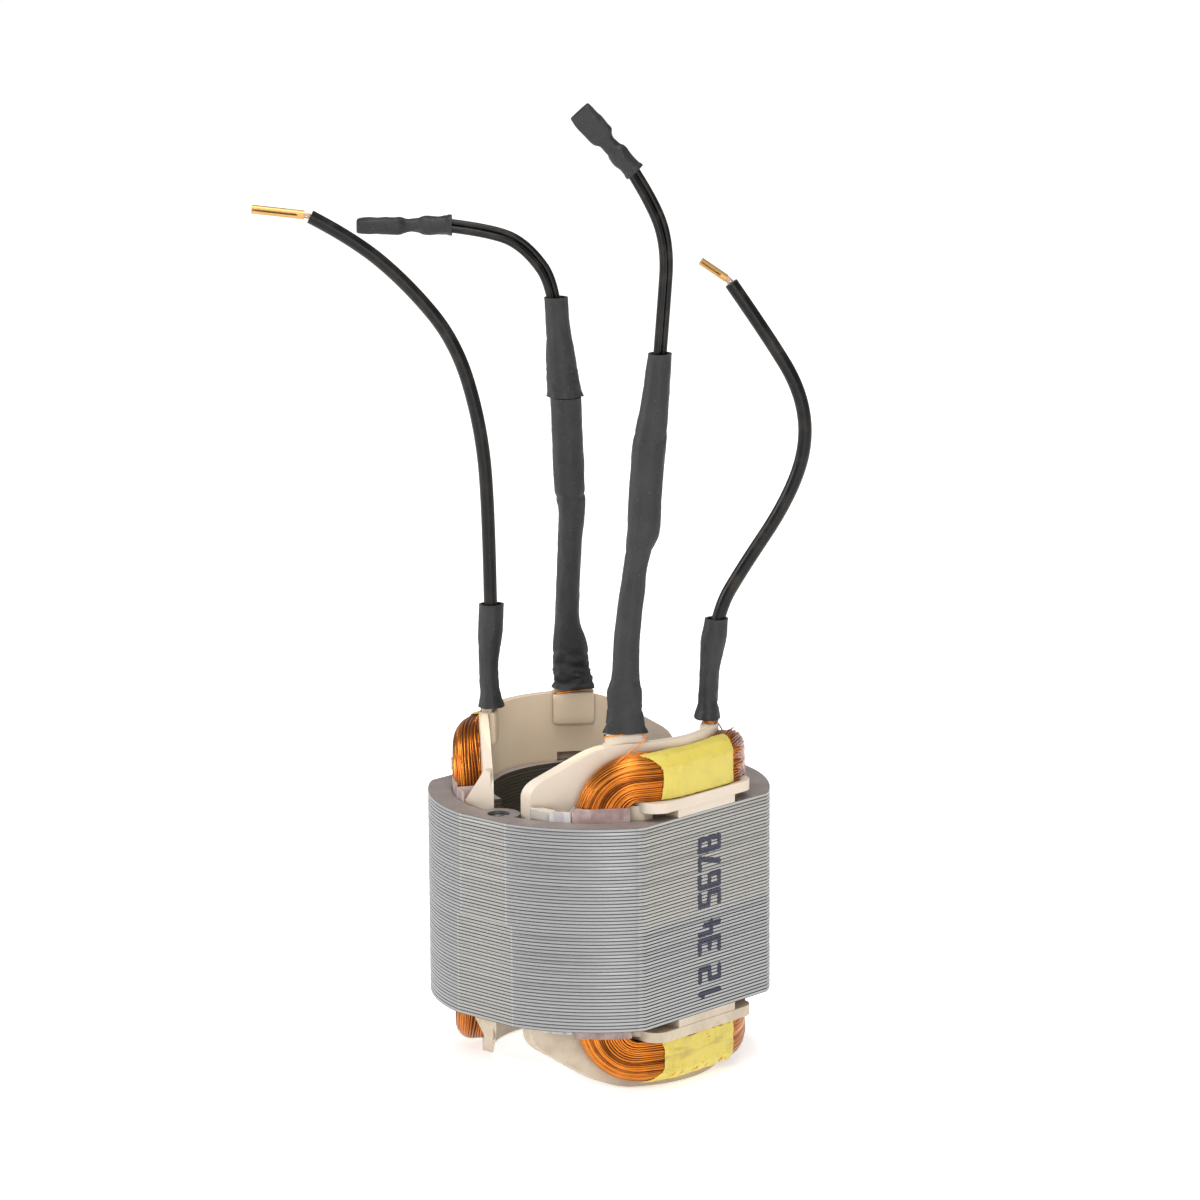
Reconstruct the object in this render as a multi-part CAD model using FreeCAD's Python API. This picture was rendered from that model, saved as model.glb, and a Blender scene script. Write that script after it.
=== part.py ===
import FreeCAD, Part
import math
import os

os.makedirs("parts", exist_ok=True)
V = FreeCAD.Vector
Z_AXIS = V(0, 0, 1)

# Lamination stack, millimetres
STACK_R = 25.0
STACK_H = 30.0
YOKE_W = 3.5
YOKE_IN_R = STACK_R - YOKE_W
FLAT_X = STACK_R - 3.95
FLAT_HALF = 13.15
BEVEL_X = FLAT_X - 0.5
FACET_UPPER_Y = STACK_R - 0.4
FACET_LOWER_Y = STACK_R - 0.58
BORE_R = 15.75
POLE_HALF = 12.3
HORN_OUT_R = 17.3
HORN_DEG = 69.0
SCREW_Y = STACK_R - 3.8
SCREW_HOLE_R = 1.6
LOBE_R = 3.1

# End insulators: the inner wall stands round the bore, the tray lies under the end turn
WALL_H = 10.5
WALL_T = 1.3
WALL_ARC_R = 14.07
WALL_ARC_X = 2.83
WING_TURN = 47.0
WALL_END_Y = YOKE_IN_R - 2.1
SEAT_HALF = 17.2
TRAY_GAP = 1.2
TRAY_T = 1.5
TRAY_HALF = 10.8
TRAY_CORNER_R = 2.6
FOOT_HALF = 6.1
FOOT_DEEP = 2.65
KNEE_OVER = 0.9
NOTCH_IN_Y = 7.1
NOTCH_OUT_Y = 11.6
NOTCH_H = 1.4
FOOT_DROP = 1.6

# Field coils
COIL_GAP = 0.15
COIL_OUT_R = YOKE_IN_R - 0.3
COIL_OUT_X = FLAT_X - 0.65
COIL_DEG = 57.0
COIL_OVER = 9.1
WINDOW_HALF = POLE_HALF + 0.5
WINDOW_OVER = TRAY_GAP + TRAY_T + 0.1
CORNER_R = 9.0
PLAN_R = 10.0
EDGE_R = 2.0
WINDOW_R = 1.9

# Tape, slot films
TAPE_T = 0.2
TAPE_FROM_Y = -8.7
TAPE_TO_Y = 7.3
FILM_T = 0.2
LINER_OVER = 2.1
LINER_POLE_OVER = 0.4
STRIP_OVER = 1.5
LINER_PAST_DEG = 0.7
STRIP_PAST_DEG = 1.2
STRIP_TO_DEG = 66.5
STRIP_IN_R = 17.95

# Leads
LEAD_R = 1.0
TWIN_R = 0.55
MAGNET_R = 0.15
SLEEVE_T = 0.4

BASE_Z = WALL_H
TOP_Z = BASE_Z + STACK_H
MID_Z = BASE_Z + STACK_H / 2
RIM_Z = TOP_Z + WALL_H


def save(shape, node):
    """Check one solid and write it as its own file."""
    shape = shape.removeSplitter()
    if len(shape.Solids) == 1:
        shape = shape.Solids[0]
    closed = all(s.isClosed() and s.isValid() for s in shape.Solids)
    print("%-26s solids %d closed %s volume %9.2f" % (node, len(shape.Solids), closed, shape.Volume))
    shape.exportStep("parts/" + node + ".step")
    return shape


def polar(radius, deg, z=0.0):
    """Point at a radius and an angle from +X."""
    return V(radius * math.cos(math.radians(deg)), radius * math.sin(math.radians(deg)), z)


def prism(points, z0, z1):
    """Upright prism on a closed run of plan points."""
    corners = [V(x, y, z0) for x, y in points]
    face = Part.Face(Part.makePolygon(corners + [corners[0]]))
    return face.extrude(V(0, 0, z1 - z0))


def box(x0, x1, y0, y1, z0, z1):
    """Box between two corners."""
    return Part.makeBox(x1 - x0, y1 - y0, z1 - z0, V(x0, y0, z0))


def sector(from_deg, to_deg, z0, z1):
    """Wedge between two bearings, from the bore axis to beyond the stack."""
    middle = (from_deg + to_deg) / 2
    rays = [polar(3 * STACK_R, deg) for deg in (from_deg, middle, to_deg)]
    return prism([(0, 0)] + [(ray.x, ray.y) for ray in rays], z0, z1)


def cylinder(radius, z0, z1, x=0.0, y=0.0):
    """Upright cylinder."""
    return Part.makeCylinder(radius, z1 - z0, V(x, y, z0))


def mirror_z(shape):
    """Copy across the middle plane of the stack."""
    return shape.mirror(V(0, 0, MID_Z), Z_AXIS)


def half_turn(shape):
    """Copy turned half way round the bore axis."""
    turned = shape.copy()
    turned.rotate(V(0, 0, 0), Z_AXIS, 180)
    return turned


def lamination_pack(z0, z1, facet_y):
    """Half of the lamination stack, both poles, horns and screw lobes."""
    body = cylinder(STACK_R, z0, z1).common(box(-FLAT_X, FLAT_X, -facet_y, facet_y, z0, z1))
    edge_y = math.sqrt(STACK_R ** 2 - BEVEL_X ** 2)
    quarter = [(FLAT_X, FLAT_HALF), (BEVEL_X, edge_y), (BEVEL_X, STACK_R)]
    right = [(x, -y) for x, y in reversed(quarter)] + quarter
    outline = right + [(-x, -y) for x, y in right]
    body = body.common(prism(outline, z0, z1))
    ring = body.cut(cylinder(YOKE_IN_R, z0, z1))
    core = cylinder(YOKE_IN_R + 0.5, z0, z1).common(body)
    pole = core.common(box(0, STACK_R, -POLE_HALF, POLE_HALF, z0, z1))
    horn = cylinder(HORN_OUT_R, z0, z1).common(sector(-HORN_DEG, HORN_DEG, z0, z1))
    pole = pole.fuse(horn)
    pack = ring.fuse([pole, half_turn(pole)])
    for side in (-1, 1):
        lobe = cylinder(LOBE_R, z0, z1, 0, side * SCREW_Y).common(body)
        pack = pack.fuse(lobe)
    pack = pack.cut(cylinder(BORE_R, z0 - 1, z1 + 1))
    for side in (-1, 1):
        pack = pack.cut(cylinder(SCREW_HOLE_R, z0 - 1, z1 + 1, 0, side * SCREW_Y))
    return pack.removeSplitter()


def wall_hull(offset, z0, z1, end_y=WALL_END_Y):
    """Prism on the bore side of the wall curve: an arc at the pole and two straight wings."""
    radius = WALL_ARC_R + offset
    turn = math.radians(WING_TURN)
    tangent = (WALL_ARC_X + radius * math.cos(turn), radius * math.sin(turn))
    run = (end_y - tangent[1]) / math.cos(turn)
    end_x = tangent[0] - run * math.sin(turn)
    low, high = V(tangent[0], -tangent[1], z0), V(tangent[0], tangent[1], z0)
    edges = [Part.makeLine(V(end_x, -end_y, z0), low),
             Part.Arc(low, V(WALL_ARC_X + radius, 0, z0), high).toShape(),
             Part.makeLine(high, V(end_x, end_y, z0)),
             Part.makeLine(V(end_x, end_y, z0), V(-2, end_y, z0)),
             Part.makeLine(V(-2, end_y, z0), V(-2, -end_y, z0)),
             Part.makeLine(V(-2, -end_y, z0), V(end_x, -end_y, z0))]
    return Part.Face(Part.Wire(edges)).extrude(V(0, 0, z1 - z0))


def rim_profile():
    """Side outline of the inner wall: level at the posts, falling to rounded ends."""
    pts = [(-WALL_END_Y, -FOOT_DROP), (-WALL_END_Y, 4.1), (-11.9, WALL_H), (11.9, WALL_H),
           (WALL_END_Y, 4.1), (WALL_END_Y, -FOOT_DROP)]
    corners = [V(-5, y, TOP_Z + z) for y, z in pts]
    solid = Part.Face(Part.makePolygon(corners + [corners[0]])).extrude(V(40, 0, 0))
    for edge_z, radius in ((TOP_Z + 4.1, 3.6), (RIM_Z, 7.0)):
        picked = [e for e in solid.Edges if all(abs(v.Z - edge_z) < 1e-6 for v in e.Vertexes)
                  and abs(e.Vertexes[0].Y - e.Vertexes[1].Y) < 1e-6]
        solid = solid.makeFillet(radius, picked)
    return solid


# Lead posts on the bore side of the wall: plan position, bearing of the face, width
POST_C = (13.55, -9.15, -41.0, 6.2)
POST_D = (14.56, 7.76, 33.5, 3.4)
PAD_FACE_R = BORE_R + 0.1
PAD_H = 5.2
POST_BACK = 0.9
NECK_H = 0.68
CORE_H = 4.4
CORE_T = 0.8


def face_depth(x, y, deg):
    """How far the pad's bore face lies in front of the post's plan point."""
    return polar(1, deg).dot(V(x, y, 0)) - PAD_FACE_R


def post(x, y, deg, width):
    """Lead post: pad below the rim, neck above it, and the thin core inside the sleeve."""
    face = face_depth(x, y, deg)
    pad = Part.makeBox(face + POST_BACK, width, PAD_H + 0.1, V(-face, -width / 2, RIM_Z - PAD_H))
    pad_edges = [e for e in pad.Edges if all(abs(v.X + face) < 1e-6 for v in e.Vertexes)]
    pad = pad.makeFillet(0.35, pad_edges)
    neck = Part.makeBox(face + POST_BACK, width - 0.5, NECK_H, V(-face, -width / 2 + 0.25, RIM_Z))
    core = Part.makeBox(CORE_T, width / 2, NECK_H + CORE_H, V(-face, -width / 4, RIM_Z))
    solid = pad.fuse([neck, core])
    solid.rotate(V(0, 0, 0), Z_AXIS, deg)
    solid.translate(V(x, y, 0))
    return solid


def insulator(with_posts):
    """Right-hand end insulator at the top of the stack."""
    wall = wall_hull(WALL_T, TOP_Z - FOOT_DROP, RIM_Z).common(rim_profile())
    wall = wall.cut(wall_hull(0, TOP_Z - 5, RIM_Z + 1, WALL_END_Y + 1))
    seat = box(2, STACK_R, -SEAT_HALF, SEAT_HALF, TOP_Z - 2 * FOOT_DROP, TOP_Z)
    wall = wall.cut(seat)
    tray_z = TOP_Z + TRAY_GAP
    tray = box(13.0, FLAT_X + 0.1, -TRAY_HALF, TRAY_HALF, tray_z, tray_z + TRAY_T)
    corner = [e for e in tray.Edges if abs(e.Vertexes[0].X - FLAT_X - 0.1) < 1e-6
              and abs(e.Vertexes[1].X - FLAT_X - 0.1) < 1e-6 and e.Length < TRAY_T + 0.1]
    tray = tray.makeFillet(TRAY_CORNER_R, corner)
    foot = box(FLAT_X - FOOT_DEEP, FLAT_X, -FOOT_HALF, FOOT_HALF, TOP_Z, tray_z + 0.5)
    solid = wall.fuse([tray.cut(wall_hull(0.6, TOP_Z, RIM_Z)), foot])
    for side in (-1, 1):
        knee = [(14.2, side * 8.6), (14.2, side * 12.1), (16.0, side * 12.1), (18.35, side * 10.4),
                (18.35, side * 8.6)]
        block = prism(knee, TOP_Z, tray_z + KNEE_OVER).cut(wall_hull(0.6, TOP_Z, RIM_Z))
        solid = solid.fuse(block)
        notch = box(10, 17.0, min(side * NOTCH_IN_Y, side * NOTCH_OUT_Y),
                    max(side * NOTCH_IN_Y, side * NOTCH_OUT_Y), TOP_Z - 0.5, TOP_Z + NOTCH_H)
        solid = solid.cut(notch.common(wall_hull(WALL_T * 0.98, TOP_Z - 1, TOP_Z + 3)))
    gusset = [V(2.9, WALL_END_Y, TOP_Z - FOOT_DROP), V(8.6, WALL_END_Y, TOP_Z - FOOT_DROP),
              V(8.6, WALL_END_Y, TOP_Z + 0.3), V(8.1, WALL_END_Y, TOP_Z + 0.6),
              V(4.4, WALL_END_Y, TOP_Z + 5.5), V(3.4, WALL_END_Y, TOP_Z + 5.0)]
    plate = Part.Face(Part.makePolygon(gusset + [gusset[0]])).extrude(V(0, -1.2, 0))
    low_foot = box(3.2, 8.4, -WALL_END_Y, -WALL_END_Y + 1.2, TOP_Z - FOOT_DROP, TOP_Z + 1.3)
    solid = solid.fuse([plate.cut(wall_hull(0.3, TOP_Z - 5, RIM_Z)),
                        low_foot.cut(wall_hull(0.3, TOP_Z - 5, RIM_Z))])
    if with_posts:
        for x, y, deg, width in (POST_C, POST_D):
            solid = solid.fuse(post(x, y, deg, width))
    return solid.removeSplitter()


def coil_body(grow):
    """Bundle of turns round the right-hand pole, grown for the tape that covers it."""
    z0, z1 = BASE_Z - COIL_OVER - grow, TOP_Z + COIL_OVER + grow
    body = cylinder(COIL_OUT_R + grow, z0, z1).common(box(0, COIL_OUT_X + grow, -STACK_R, STACK_R, z0, z1))
    body = body.cut(wall_hull(WALL_T + COIL_GAP - min(grow, 0.05), z0 - 1, z1 + 1, STACK_R))
    body = body.common(sector(-COIL_DEG, COIL_DEG, z0, z1))
    seams = [e for e in body.Edges if e.Length > 5
             and all(abs(v.X - COIL_OUT_X - grow) < 1e-6 for v in e.Vertexes)
             and abs(e.Vertexes[0].Z - e.Vertexes[-1].Z) > 5]
    body = body.makeFillet(PLAN_R, seams)
    ends = []
    for edge in body.Edges:
        a, b = edge.Vertexes[0].Point, edge.Vertexes[-1].Point
        level = abs(a.z - b.z) < 1e-6
        on_end = all(abs(abs(math.degrees(math.atan2(p.y, p.x))) - COIL_DEG) < 1e-4 for p in (a, b))
        if level and on_end:
            ends.append(edge)
    body = body.makeFillet(CORNER_R, ends)
    rims = []
    for edge in body.Edges:
        mid = edge.valueAt((edge.FirstParameter + edge.LastParameter) / 2)
        if abs(mid.x - COIL_OUT_X - grow) < 1e-6 and abs(mid.y) < 1e-3:
            rims.append(edge)
    body = body.makeFillet(EDGE_R, rims)
    window = box(0, 2 * STACK_R, -WINDOW_HALF + grow, WINDOW_HALF - grow,
                 BASE_Z - WINDOW_OVER + grow, TOP_Z + WINDOW_OVER - grow)
    window = window.makeFillet(WINDOW_R, [e for e in window.Edges if abs(e.Length - 2 * STACK_R) < 1e-6])
    return body.cut(window)


def tape_band(coil):
    """Tape over the outer face and the top of one end turn."""
    shell = coil_body(TAPE_T).cut(coil)
    zone = box(0, STACK_R, TAPE_FROM_Y, TAPE_TO_Y, TOP_Z + WINDOW_OVER, RIM_Z)
    shell = shell.common(zone).cut(wall_hull(WALL_T + COIL_GAP + 0.02, TOP_Z, RIM_Z, STACK_R))
    return max(shell.Solids, key=lambda s: s.Volume)


def slot_liner():
    """U-shaped film round the front coil side of the right-hand pole."""
    z0, z1 = BASE_Z - LINER_OVER, TOP_Z + LINER_OVER
    ring = cylinder(YOKE_IN_R - 0.05, z0, z1).cut(cylinder(YOKE_IN_R - 0.05 - FILM_T, z0 - 1, z1 + 1))
    zone = sector(-COIL_DEG - LINER_PAST_DEG, 0, z0, z1)
    zone = zone.common(box(0, STACK_R, -STACK_R, -POLE_HALF - 0.1, z0, z1))
    outer = ring.common(zone)
    low, high = BASE_Z - LINER_POLE_OVER, TOP_Z + LINER_POLE_OVER
    leg = box(12.7, STACK_R, -POLE_HALF - 0.1 - FILM_T, -POLE_HALF - 0.1, low, high)
    leg = leg.common(cylinder(YOKE_IN_R - 0.1, low, high))
    return outer.fuse(leg)


def slot_strip():
    """Film that closes the front slot beside the coil and lies on along the yoke."""
    z0, z1 = BASE_Z - STRIP_OVER, TOP_Z + STRIP_OVER
    radius = YOKE_IN_R - 0.05
    ring = cylinder(radius, z0, z1).cut(cylinder(radius - FILM_T, z0 - 1, z1 + 1))
    zone = sector(-STRIP_TO_DEG, -COIL_DEG - STRIP_PAST_DEG, z0, z1)
    leg = box(STRIP_IN_R, radius - 0.1, 0, FILM_T, z0, z1)
    leg.rotate(V(0, 0, 0), Z_AXIS, -COIL_DEG - STRIP_PAST_DEG - math.degrees(FILM_T / STRIP_IN_R))
    return ring.common(zone).fuse(leg)


# Leads stand in upright planes parallel to this bearing, each at its own depth
LEAD_DEG = 42.667
ALONG = polar(1, LEAD_DEG)
ACROSS = polar(1, LEAD_DEG + 90)


def at(s, depth, z):
    """Point in a lead plane: distance along it, its depth, height."""
    return ALONG * s + ACROSS * depth + V(0, 0, z)


def oval(s, depth, z, half_s, half_d):
    """Level oval wire; every one starts on the same side, so that a loft does not twist."""
    stretch = FreeCAD.Matrix(ALONG.x * half_s, ACROSS.x * half_d, 0, 0,
                             ALONG.y * half_s, ACROSS.y * half_d, 0, 0, 0, 0, 1, 0, 0, 0, 0, 1)
    ring = Part.Wire(Part.Circle(V(0, 0, 0), Z_AXIS, 1.0).toShape()).transformGeometry(stretch)
    ring.translate(at(s, depth, z))
    return Part.Wire(ring.Edges)


def sleeve(rows, depth, wall):
    """Shrink sleeve lofted through level ovals (s, z, half width, half depth), hollow to both ends."""
    outer = Part.makeLoft([oval(s, depth, z, hs, hd) for s, z, hs, hd in rows], True, True)
    inner_rows = [list(r) for r in rows]
    inner_rows[0][1] -= 0.2
    inner_rows[-1][1] += 0.2
    inner = Part.makeLoft([oval(s, depth, z, hs - wall, hd - wall) for s, z, hs, hd in inner_rows],
                          True, True)
    return outer.cut(inner)


def route_curve(points, depth):
    """Straight runs joined by tangent arcs, and the list of arc radii."""
    pts = [at(s, depth, z) for s, z in points]
    edges, radii, start = [], [], pts[0]
    for i in range(1, len(pts) - 1):
        before, after = pts[i] - pts[i - 1], pts[i + 1] - pts[i]
        turn = before.getAngle(after)
        cut = 0.45 * min(before.Length, after.Length)
        radii.append(cut / math.tan(turn / 2))
        before.normalize()
        after.normalize()
        p, q = pts[i] - before * cut, pts[i] + after * cut
        centre_dir = after - before
        centre_dir.normalize()
        centre = pts[i] + centre_dir * (radii[-1] / math.cos(turn / 2))
        mid = centre - centre_dir * radii[-1]
        edges.append(Part.makeLine(start, p))
        edges.append(Part.Arc(p, mid, q).toShape())
        start = q
    edges.append(Part.makeLine(start, pts[-1]))
    return Part.Wire(edges), radii


def cord(points, depth, radius, node):
    """Round cord along a route; prints its length, radii and the volume ratio."""
    path, radii = route_curve(points, depth)
    first = at(*(points[0][0], depth, points[0][1]))
    second = at(*(points[1][0], depth, points[1][1]))
    section = Part.Wire(Part.Circle(first, second - first, radius).toShape())
    tube = path.makePipeShell([section], True, True)
    ratio = tube.Volume / (math.pi * radius ** 2 * path.Length)
    print("%-22s length %6.2f ratio %.4f radii %s" % (node, path.Length, ratio,
                                                      " ".join("%.1f" % r for r in radii)))
    return tube


def rod(p, q, radius):
    """Straight round bar between two points."""
    return Part.makeCylinder(radius, (q - p).Length, p, q - p)


def bar(p, q, width, thick, wide_dir, rounding):
    """Flat bar from p to q; its width lies along wide_dir."""
    axis = q - p
    length = axis.Length
    axis.normalize()
    wide = wide_dir - axis * wide_dir.dot(axis)
    wide.normalize()
    deep = axis.cross(wide)
    solid = Part.makeBox(width, thick, length, V(-width / 2, -thick / 2, 0))
    if rounding > 0:
        solid = solid.makeFillet(rounding, [e for e in solid.Edges if abs(e.Length - length) < 1e-6])
    m = FreeCAD.Matrix(wide.x, deep.x, axis.x, p.x, wide.y, deep.y, axis.y, p.y,
                       wide.z, deep.z, axis.z, p.z, 0, 0, 0, 1)
    return solid.transformGeometry(m)


# Depth of each lead plane
DEPTH_A = 4.0
DEPTH_B = 15.8
DEPTH_C = -15.8
DEPTH_D = -4.0

ROUTE_A = [(-15.6, 62.0), (-15.7, 82.0), (-16.95, 94.5), (-20.3, 105.8), (-27.0, 114.1),
           (-34.5, 120.6), (-40.9, 124.0)]
ROUTE_D = [(16.5, 61.5), (17.3, 67.5), (20.8, 73.6), (27.2, 83.3), (30.2, 91.6), (29.3, 99.6),
           (24.5, 107.6), (19.3, 115.2)]
ROUTE_B1 = [(-4.93, 100.9), (-5.25, 111.7), (-9.5, 117.9), (-14.5, 120.55), (-22.6, 121.5)]
ROUTE_B2 = [(-5.72, 100.9), (-6.1, 111.3), (-10.1, 117.2), (-14.8, 119.75), (-22.6, 120.67)]
ROUTE_C1 = [(8.8, 99.5), (10.0, 114.0), (10.55, 122.1), (8.65, 128.5), (4.72, 134.46)]
ROUTE_C2 = [(7.95, 99.5), (9.15, 114.0), (9.7, 121.9), (7.85, 128.0), (4.12, 133.93)]
TWIN_D = 0.4

# Sleeve sections: s, z, half width, half depth
SLEEVE_A = [(-15.66, 51.7, 1.88, 1.95), (-15.68, 52.2, 1.9, 1.95), (-15.76, 53.5, 1.62, 1.8),
            (-15.98, 55.5, 1.5, 1.6), (-16.0, 58.3, 1.5, 1.5), (-15.81, 60.9, 1.7, 1.6),
            (-15.66, 63.0, 1.86, 1.75), (-15.51, 67.0, 1.83, 1.75)]
SLEEVE_D = [(15.74, 51.7, 1.86, 2.0), (15.76, 52.2, 1.88, 2.05), (15.84, 53.2, 1.66, 1.85),
            (15.88, 54.3, 1.5, 1.6), (16.11, 58.4, 1.5, 1.5), (16.4, 60.9, 1.7, 1.6),
            (16.76, 63.6, 1.93, 1.8), (17.14, 66.4, 1.72, 1.7)]
SLEEVE_B = [(-3.73, 51.7, 3.24, 1.55), (-3.76, 52.6, 3.2, 1.55), (-4.0, 54.7, 2.95, 1.5),
            (-4.2, 58.9, 2.5, 1.5), (-4.5, 61.4, 1.95, 1.6), (-4.4, 67.1, 1.82, 1.7),
            (-4.1, 73.0, 1.85, 1.75), (-3.75, 78.6, 2.05, 1.9), (-4.05, 82.0, 2.34, 2.0),
            (-4.3, 89.1, 2.34, 2.0), (-4.5, 95.4, 2.3, 2.0)]
SLEEVE_B_TOP = [(-4.62, 95.6, 2.69, 2.3), (-5.15, 101.0, 2.26, 2.1), (-5.55, 105.9, 1.84, 1.85),
                (-5.8, 110.3, 1.75, 1.75)]
SLEEVE_C = [(3.83, 52.0, 3.3, 1.6), (3.84, 53.3, 2.95, 1.55), (3.79, 56.3, 2.64, 1.5),
            (3.74, 58.8, 2.5, 1.5), (3.88, 60.3, 2.08, 1.55), (4.1, 65.5, 1.92, 1.6),
            (4.83, 72.3, 1.84, 1.65), (5.65, 77.8, 1.8, 1.75), (6.49, 81.4, 2.36, 2.0),
            (6.9, 87.8, 2.38, 2.0), (7.5, 94.5, 2.42, 2.0), (8.3, 100.5, 2.0, 1.9),
            (8.97, 107.1, 1.72, 1.8)]


def tail_wrap(x, y, deg, width, tail):
    """Two turns of magnet wire round the root of a lead post, and the tail down to the coil."""
    wire = 2 * MAGNET_R
    inner_x, inner_y = face_depth(x, y, deg) + 0.03, width / 2 - 0.22
    back = POST_BACK + 0.03
    ring = None
    for turn in range(2):
        z = RIM_Z + 0.1 + turn * 0.26
        outer = Part.makeBox(inner_x + back + 2 * wire, 2 * (inner_y + wire), 0.28,
                             V(-inner_x - wire, -inner_y - wire, z))
        inner = Part.makeBox(inner_x + back, 2 * inner_y, 1, V(-inner_x, -inner_y, z - 0.3))
        turn_solid = outer.makeFillet(0.5, [e for e in outer.Edges if abs(e.Length - 0.28) < 1e-6])
        turn_solid = turn_solid.cut(inner)
        ring = turn_solid if ring is None else ring.fuse(turn_solid)
    ring.rotate(V(0, 0, 0), Z_AXIS, deg)
    ring.translate(V(x, y, 0))
    for start, end in zip(tail[:-1], tail[1:]):
        ring = ring.fuse(rod(V(*start), V(*end), MAGNET_R))
        ring = ring.fuse(Part.makeSphere(MAGNET_R, V(*end)))
    return ring


TAIL_C = [(16.13, -7.73, RIM_Z + 0.37), (16.8, -8.3, RIM_Z + 0.3), (14.95, -12.3, RIM_Z - 1.22)]
TAIL_D = [(14.65, 9.44, RIM_Z + 0.37), (15.37, 9.98, RIM_Z + 0.3), (14.8, 11.3, RIM_Z - 1.22)]


CRIMP_IN_R = 1.27


def terminal(p, axis, wide):
    """Receptacle terminal and its shrink sleeve: round crimp, neck, flat mouth."""
    crimp_end, neck_end, mouth = p + axis * 4.6, p + axis * 6.6, p + axis * 11.6
    jacket = rod(p, crimp_end, CRIMP_IN_R + 0.23)
    jacket = jacket.fuse(bar(crimp_end - axis * 0.3, neck_end + axis * 0.3, 2.5, 2.1, wide, 0.5))
    jacket = jacket.fuse(bar(neck_end, mouth, 3.5, 2.2, wide, 0.55))
    jacket = jacket.cut(rod(p - axis * 0.2, p + axis * 3.2, CRIMP_IN_R))
    jacket = jacket.cut(bar(mouth - axis * 4.2, mouth + axis * 0.2, 2.9, 1.6, wide, 0))
    metal = bar(mouth - axis * 4.1, mouth - axis * 0.3, 2.8, 1.5, wide, 0.3)
    metal = metal.cut(bar(mouth - axis * 3.8, mouth, 2.2, 0.7, wide, 0))
    return jacket, metal


def folded_pin(start, p, q, radius, open_dir):
    """Brass pin rolled from sheet with an open seam; its core runs back to the wire's end."""
    axis = q - p
    axis.normalize()
    tube = rod(p, q, radius).cut(rod(p + axis * 1.2, q + axis * 0.1, radius - 0.25))
    seam = bar(p + axis * 1.0, q + axis * 0.2, 0.3, radius * 2, axis.cross(open_dir), 0)
    seam.translate(open_dir * radius)
    return tube.cut(seam).fuse(rod(start, p + axis * 0.6, 0.3))


# Stack
pack_low = save(lamination_pack(BASE_Z, MID_Z, FACET_LOWER_Y), "lamination_pack_lower")
pack_high = save(lamination_pack(MID_Z, TOP_Z, FACET_UPPER_Y), "lamination_pack_upper")

# Insulators
top_insulator = insulator(True)
low_insulator = mirror_z(insulator(False))
save(top_insulator, "insulator_top_right")
save(half_turn(top_insulator), "insulator_top_left")
save(low_insulator, "insulator_bottom_right")
save(half_turn(low_insulator), "insulator_bottom_left")

# Coils and tape
coil = coil_body(0.0)
save(coil, "field_coil_right")
save(half_turn(coil), "field_coil_left")
tape = tape_band(coil)
save(tape, "tape_top_right")
save(half_turn(tape), "tape_top_left")
save(mirror_z(tape), "tape_bottom_right")
save(half_turn(mirror_z(tape)), "tape_bottom_left")

# Slot films: front and back of each pole
for name, film in (("slot_liner", slot_liner()), ("slot_strip", slot_strip())):
    back = film.mirror(V(0, 0, 0), V(0, 1, 0))
    save(film, name + "_right_front")
    save(back, name + "_right_back")
    save(half_turn(back), name + "_left_front")
    save(half_turn(film), name + "_left_back")

# Lead sleeves
save(sleeve(SLEEVE_A, DEPTH_A, SLEEVE_T), "sleeve_a")
save(sleeve(SLEEVE_B, DEPTH_B, SLEEVE_T), "sleeve_b")
save(sleeve(SLEEVE_B_TOP, DEPTH_B, SLEEVE_T), "sleeve_b_upper")
save(sleeve(SLEEVE_C, DEPTH_C, SLEEVE_T), "sleeve_c")
save(sleeve(SLEEVE_D, DEPTH_D, SLEEVE_T), "sleeve_d")

# Lead wires
save(cord(ROUTE_A, DEPTH_A, LEAD_R, "lead_wire_a"), "lead_wire_a")
save(cord(ROUTE_B1, DEPTH_B + TWIN_D, TWIN_R, "lead_wire_b_one"), "lead_wire_b_one")
save(cord(ROUTE_B2, DEPTH_B - TWIN_D, TWIN_R, "lead_wire_b_two"), "lead_wire_b_two")
save(cord(ROUTE_C1, DEPTH_C + TWIN_D, TWIN_R, "lead_wire_c_one"), "lead_wire_c_one")
save(cord(ROUTE_C2, DEPTH_C - TWIN_D, TWIN_R, "lead_wire_c_two"), "lead_wire_c_two")
save(cord(ROUTE_D, DEPTH_D, LEAD_R, "lead_wire_d"), "lead_wire_d")

# Terminals and pins
axis_b = ALONG * -1.0
jacket_b, metal_b = terminal(at(-20.9, DEPTH_B, 120.98), axis_b, ACROSS)
save(jacket_b, "terminal_sleeve_b")
save(metal_b, "terminal_b")
axis_c = at(-0.672, 0, 0.7405)
jacket_c, metal_c = terminal(at(5.6, DEPTH_C, 132.7), axis_c, axis_c.cross(ACROSS))
save(jacket_c, "terminal_sleeve_c")
save(metal_c, "terminal_c")
save(folded_pin(at(-41.05, DEPTH_A, 124.08), at(-41.75, DEPTH_A, 124.25), at(-49.3, DEPTH_A, 125.15), 0.65,
                ACROSS * -1.0), "pin_a")
save(folded_pin(at(19.1, DEPTH_D, 115.5), at(18.6, DEPTH_D, 115.9), at(15.0, DEPTH_D, 118.4), 0.55,
                ACROSS * -1.0), "pin_d")

# Magnet wire wrapped at the posts
for name, (x, y, deg, width), tail in (("c", POST_C, TAIL_C), ("d", POST_D, TAIL_D)):
    wrap = tail_wrap(x, y, deg, width, tail)
    save(wrap, "tail_wrap_" + name)
    save(half_turn(wrap), "tail_wrap_" + ("b" if name == "c" else "a"))
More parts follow.
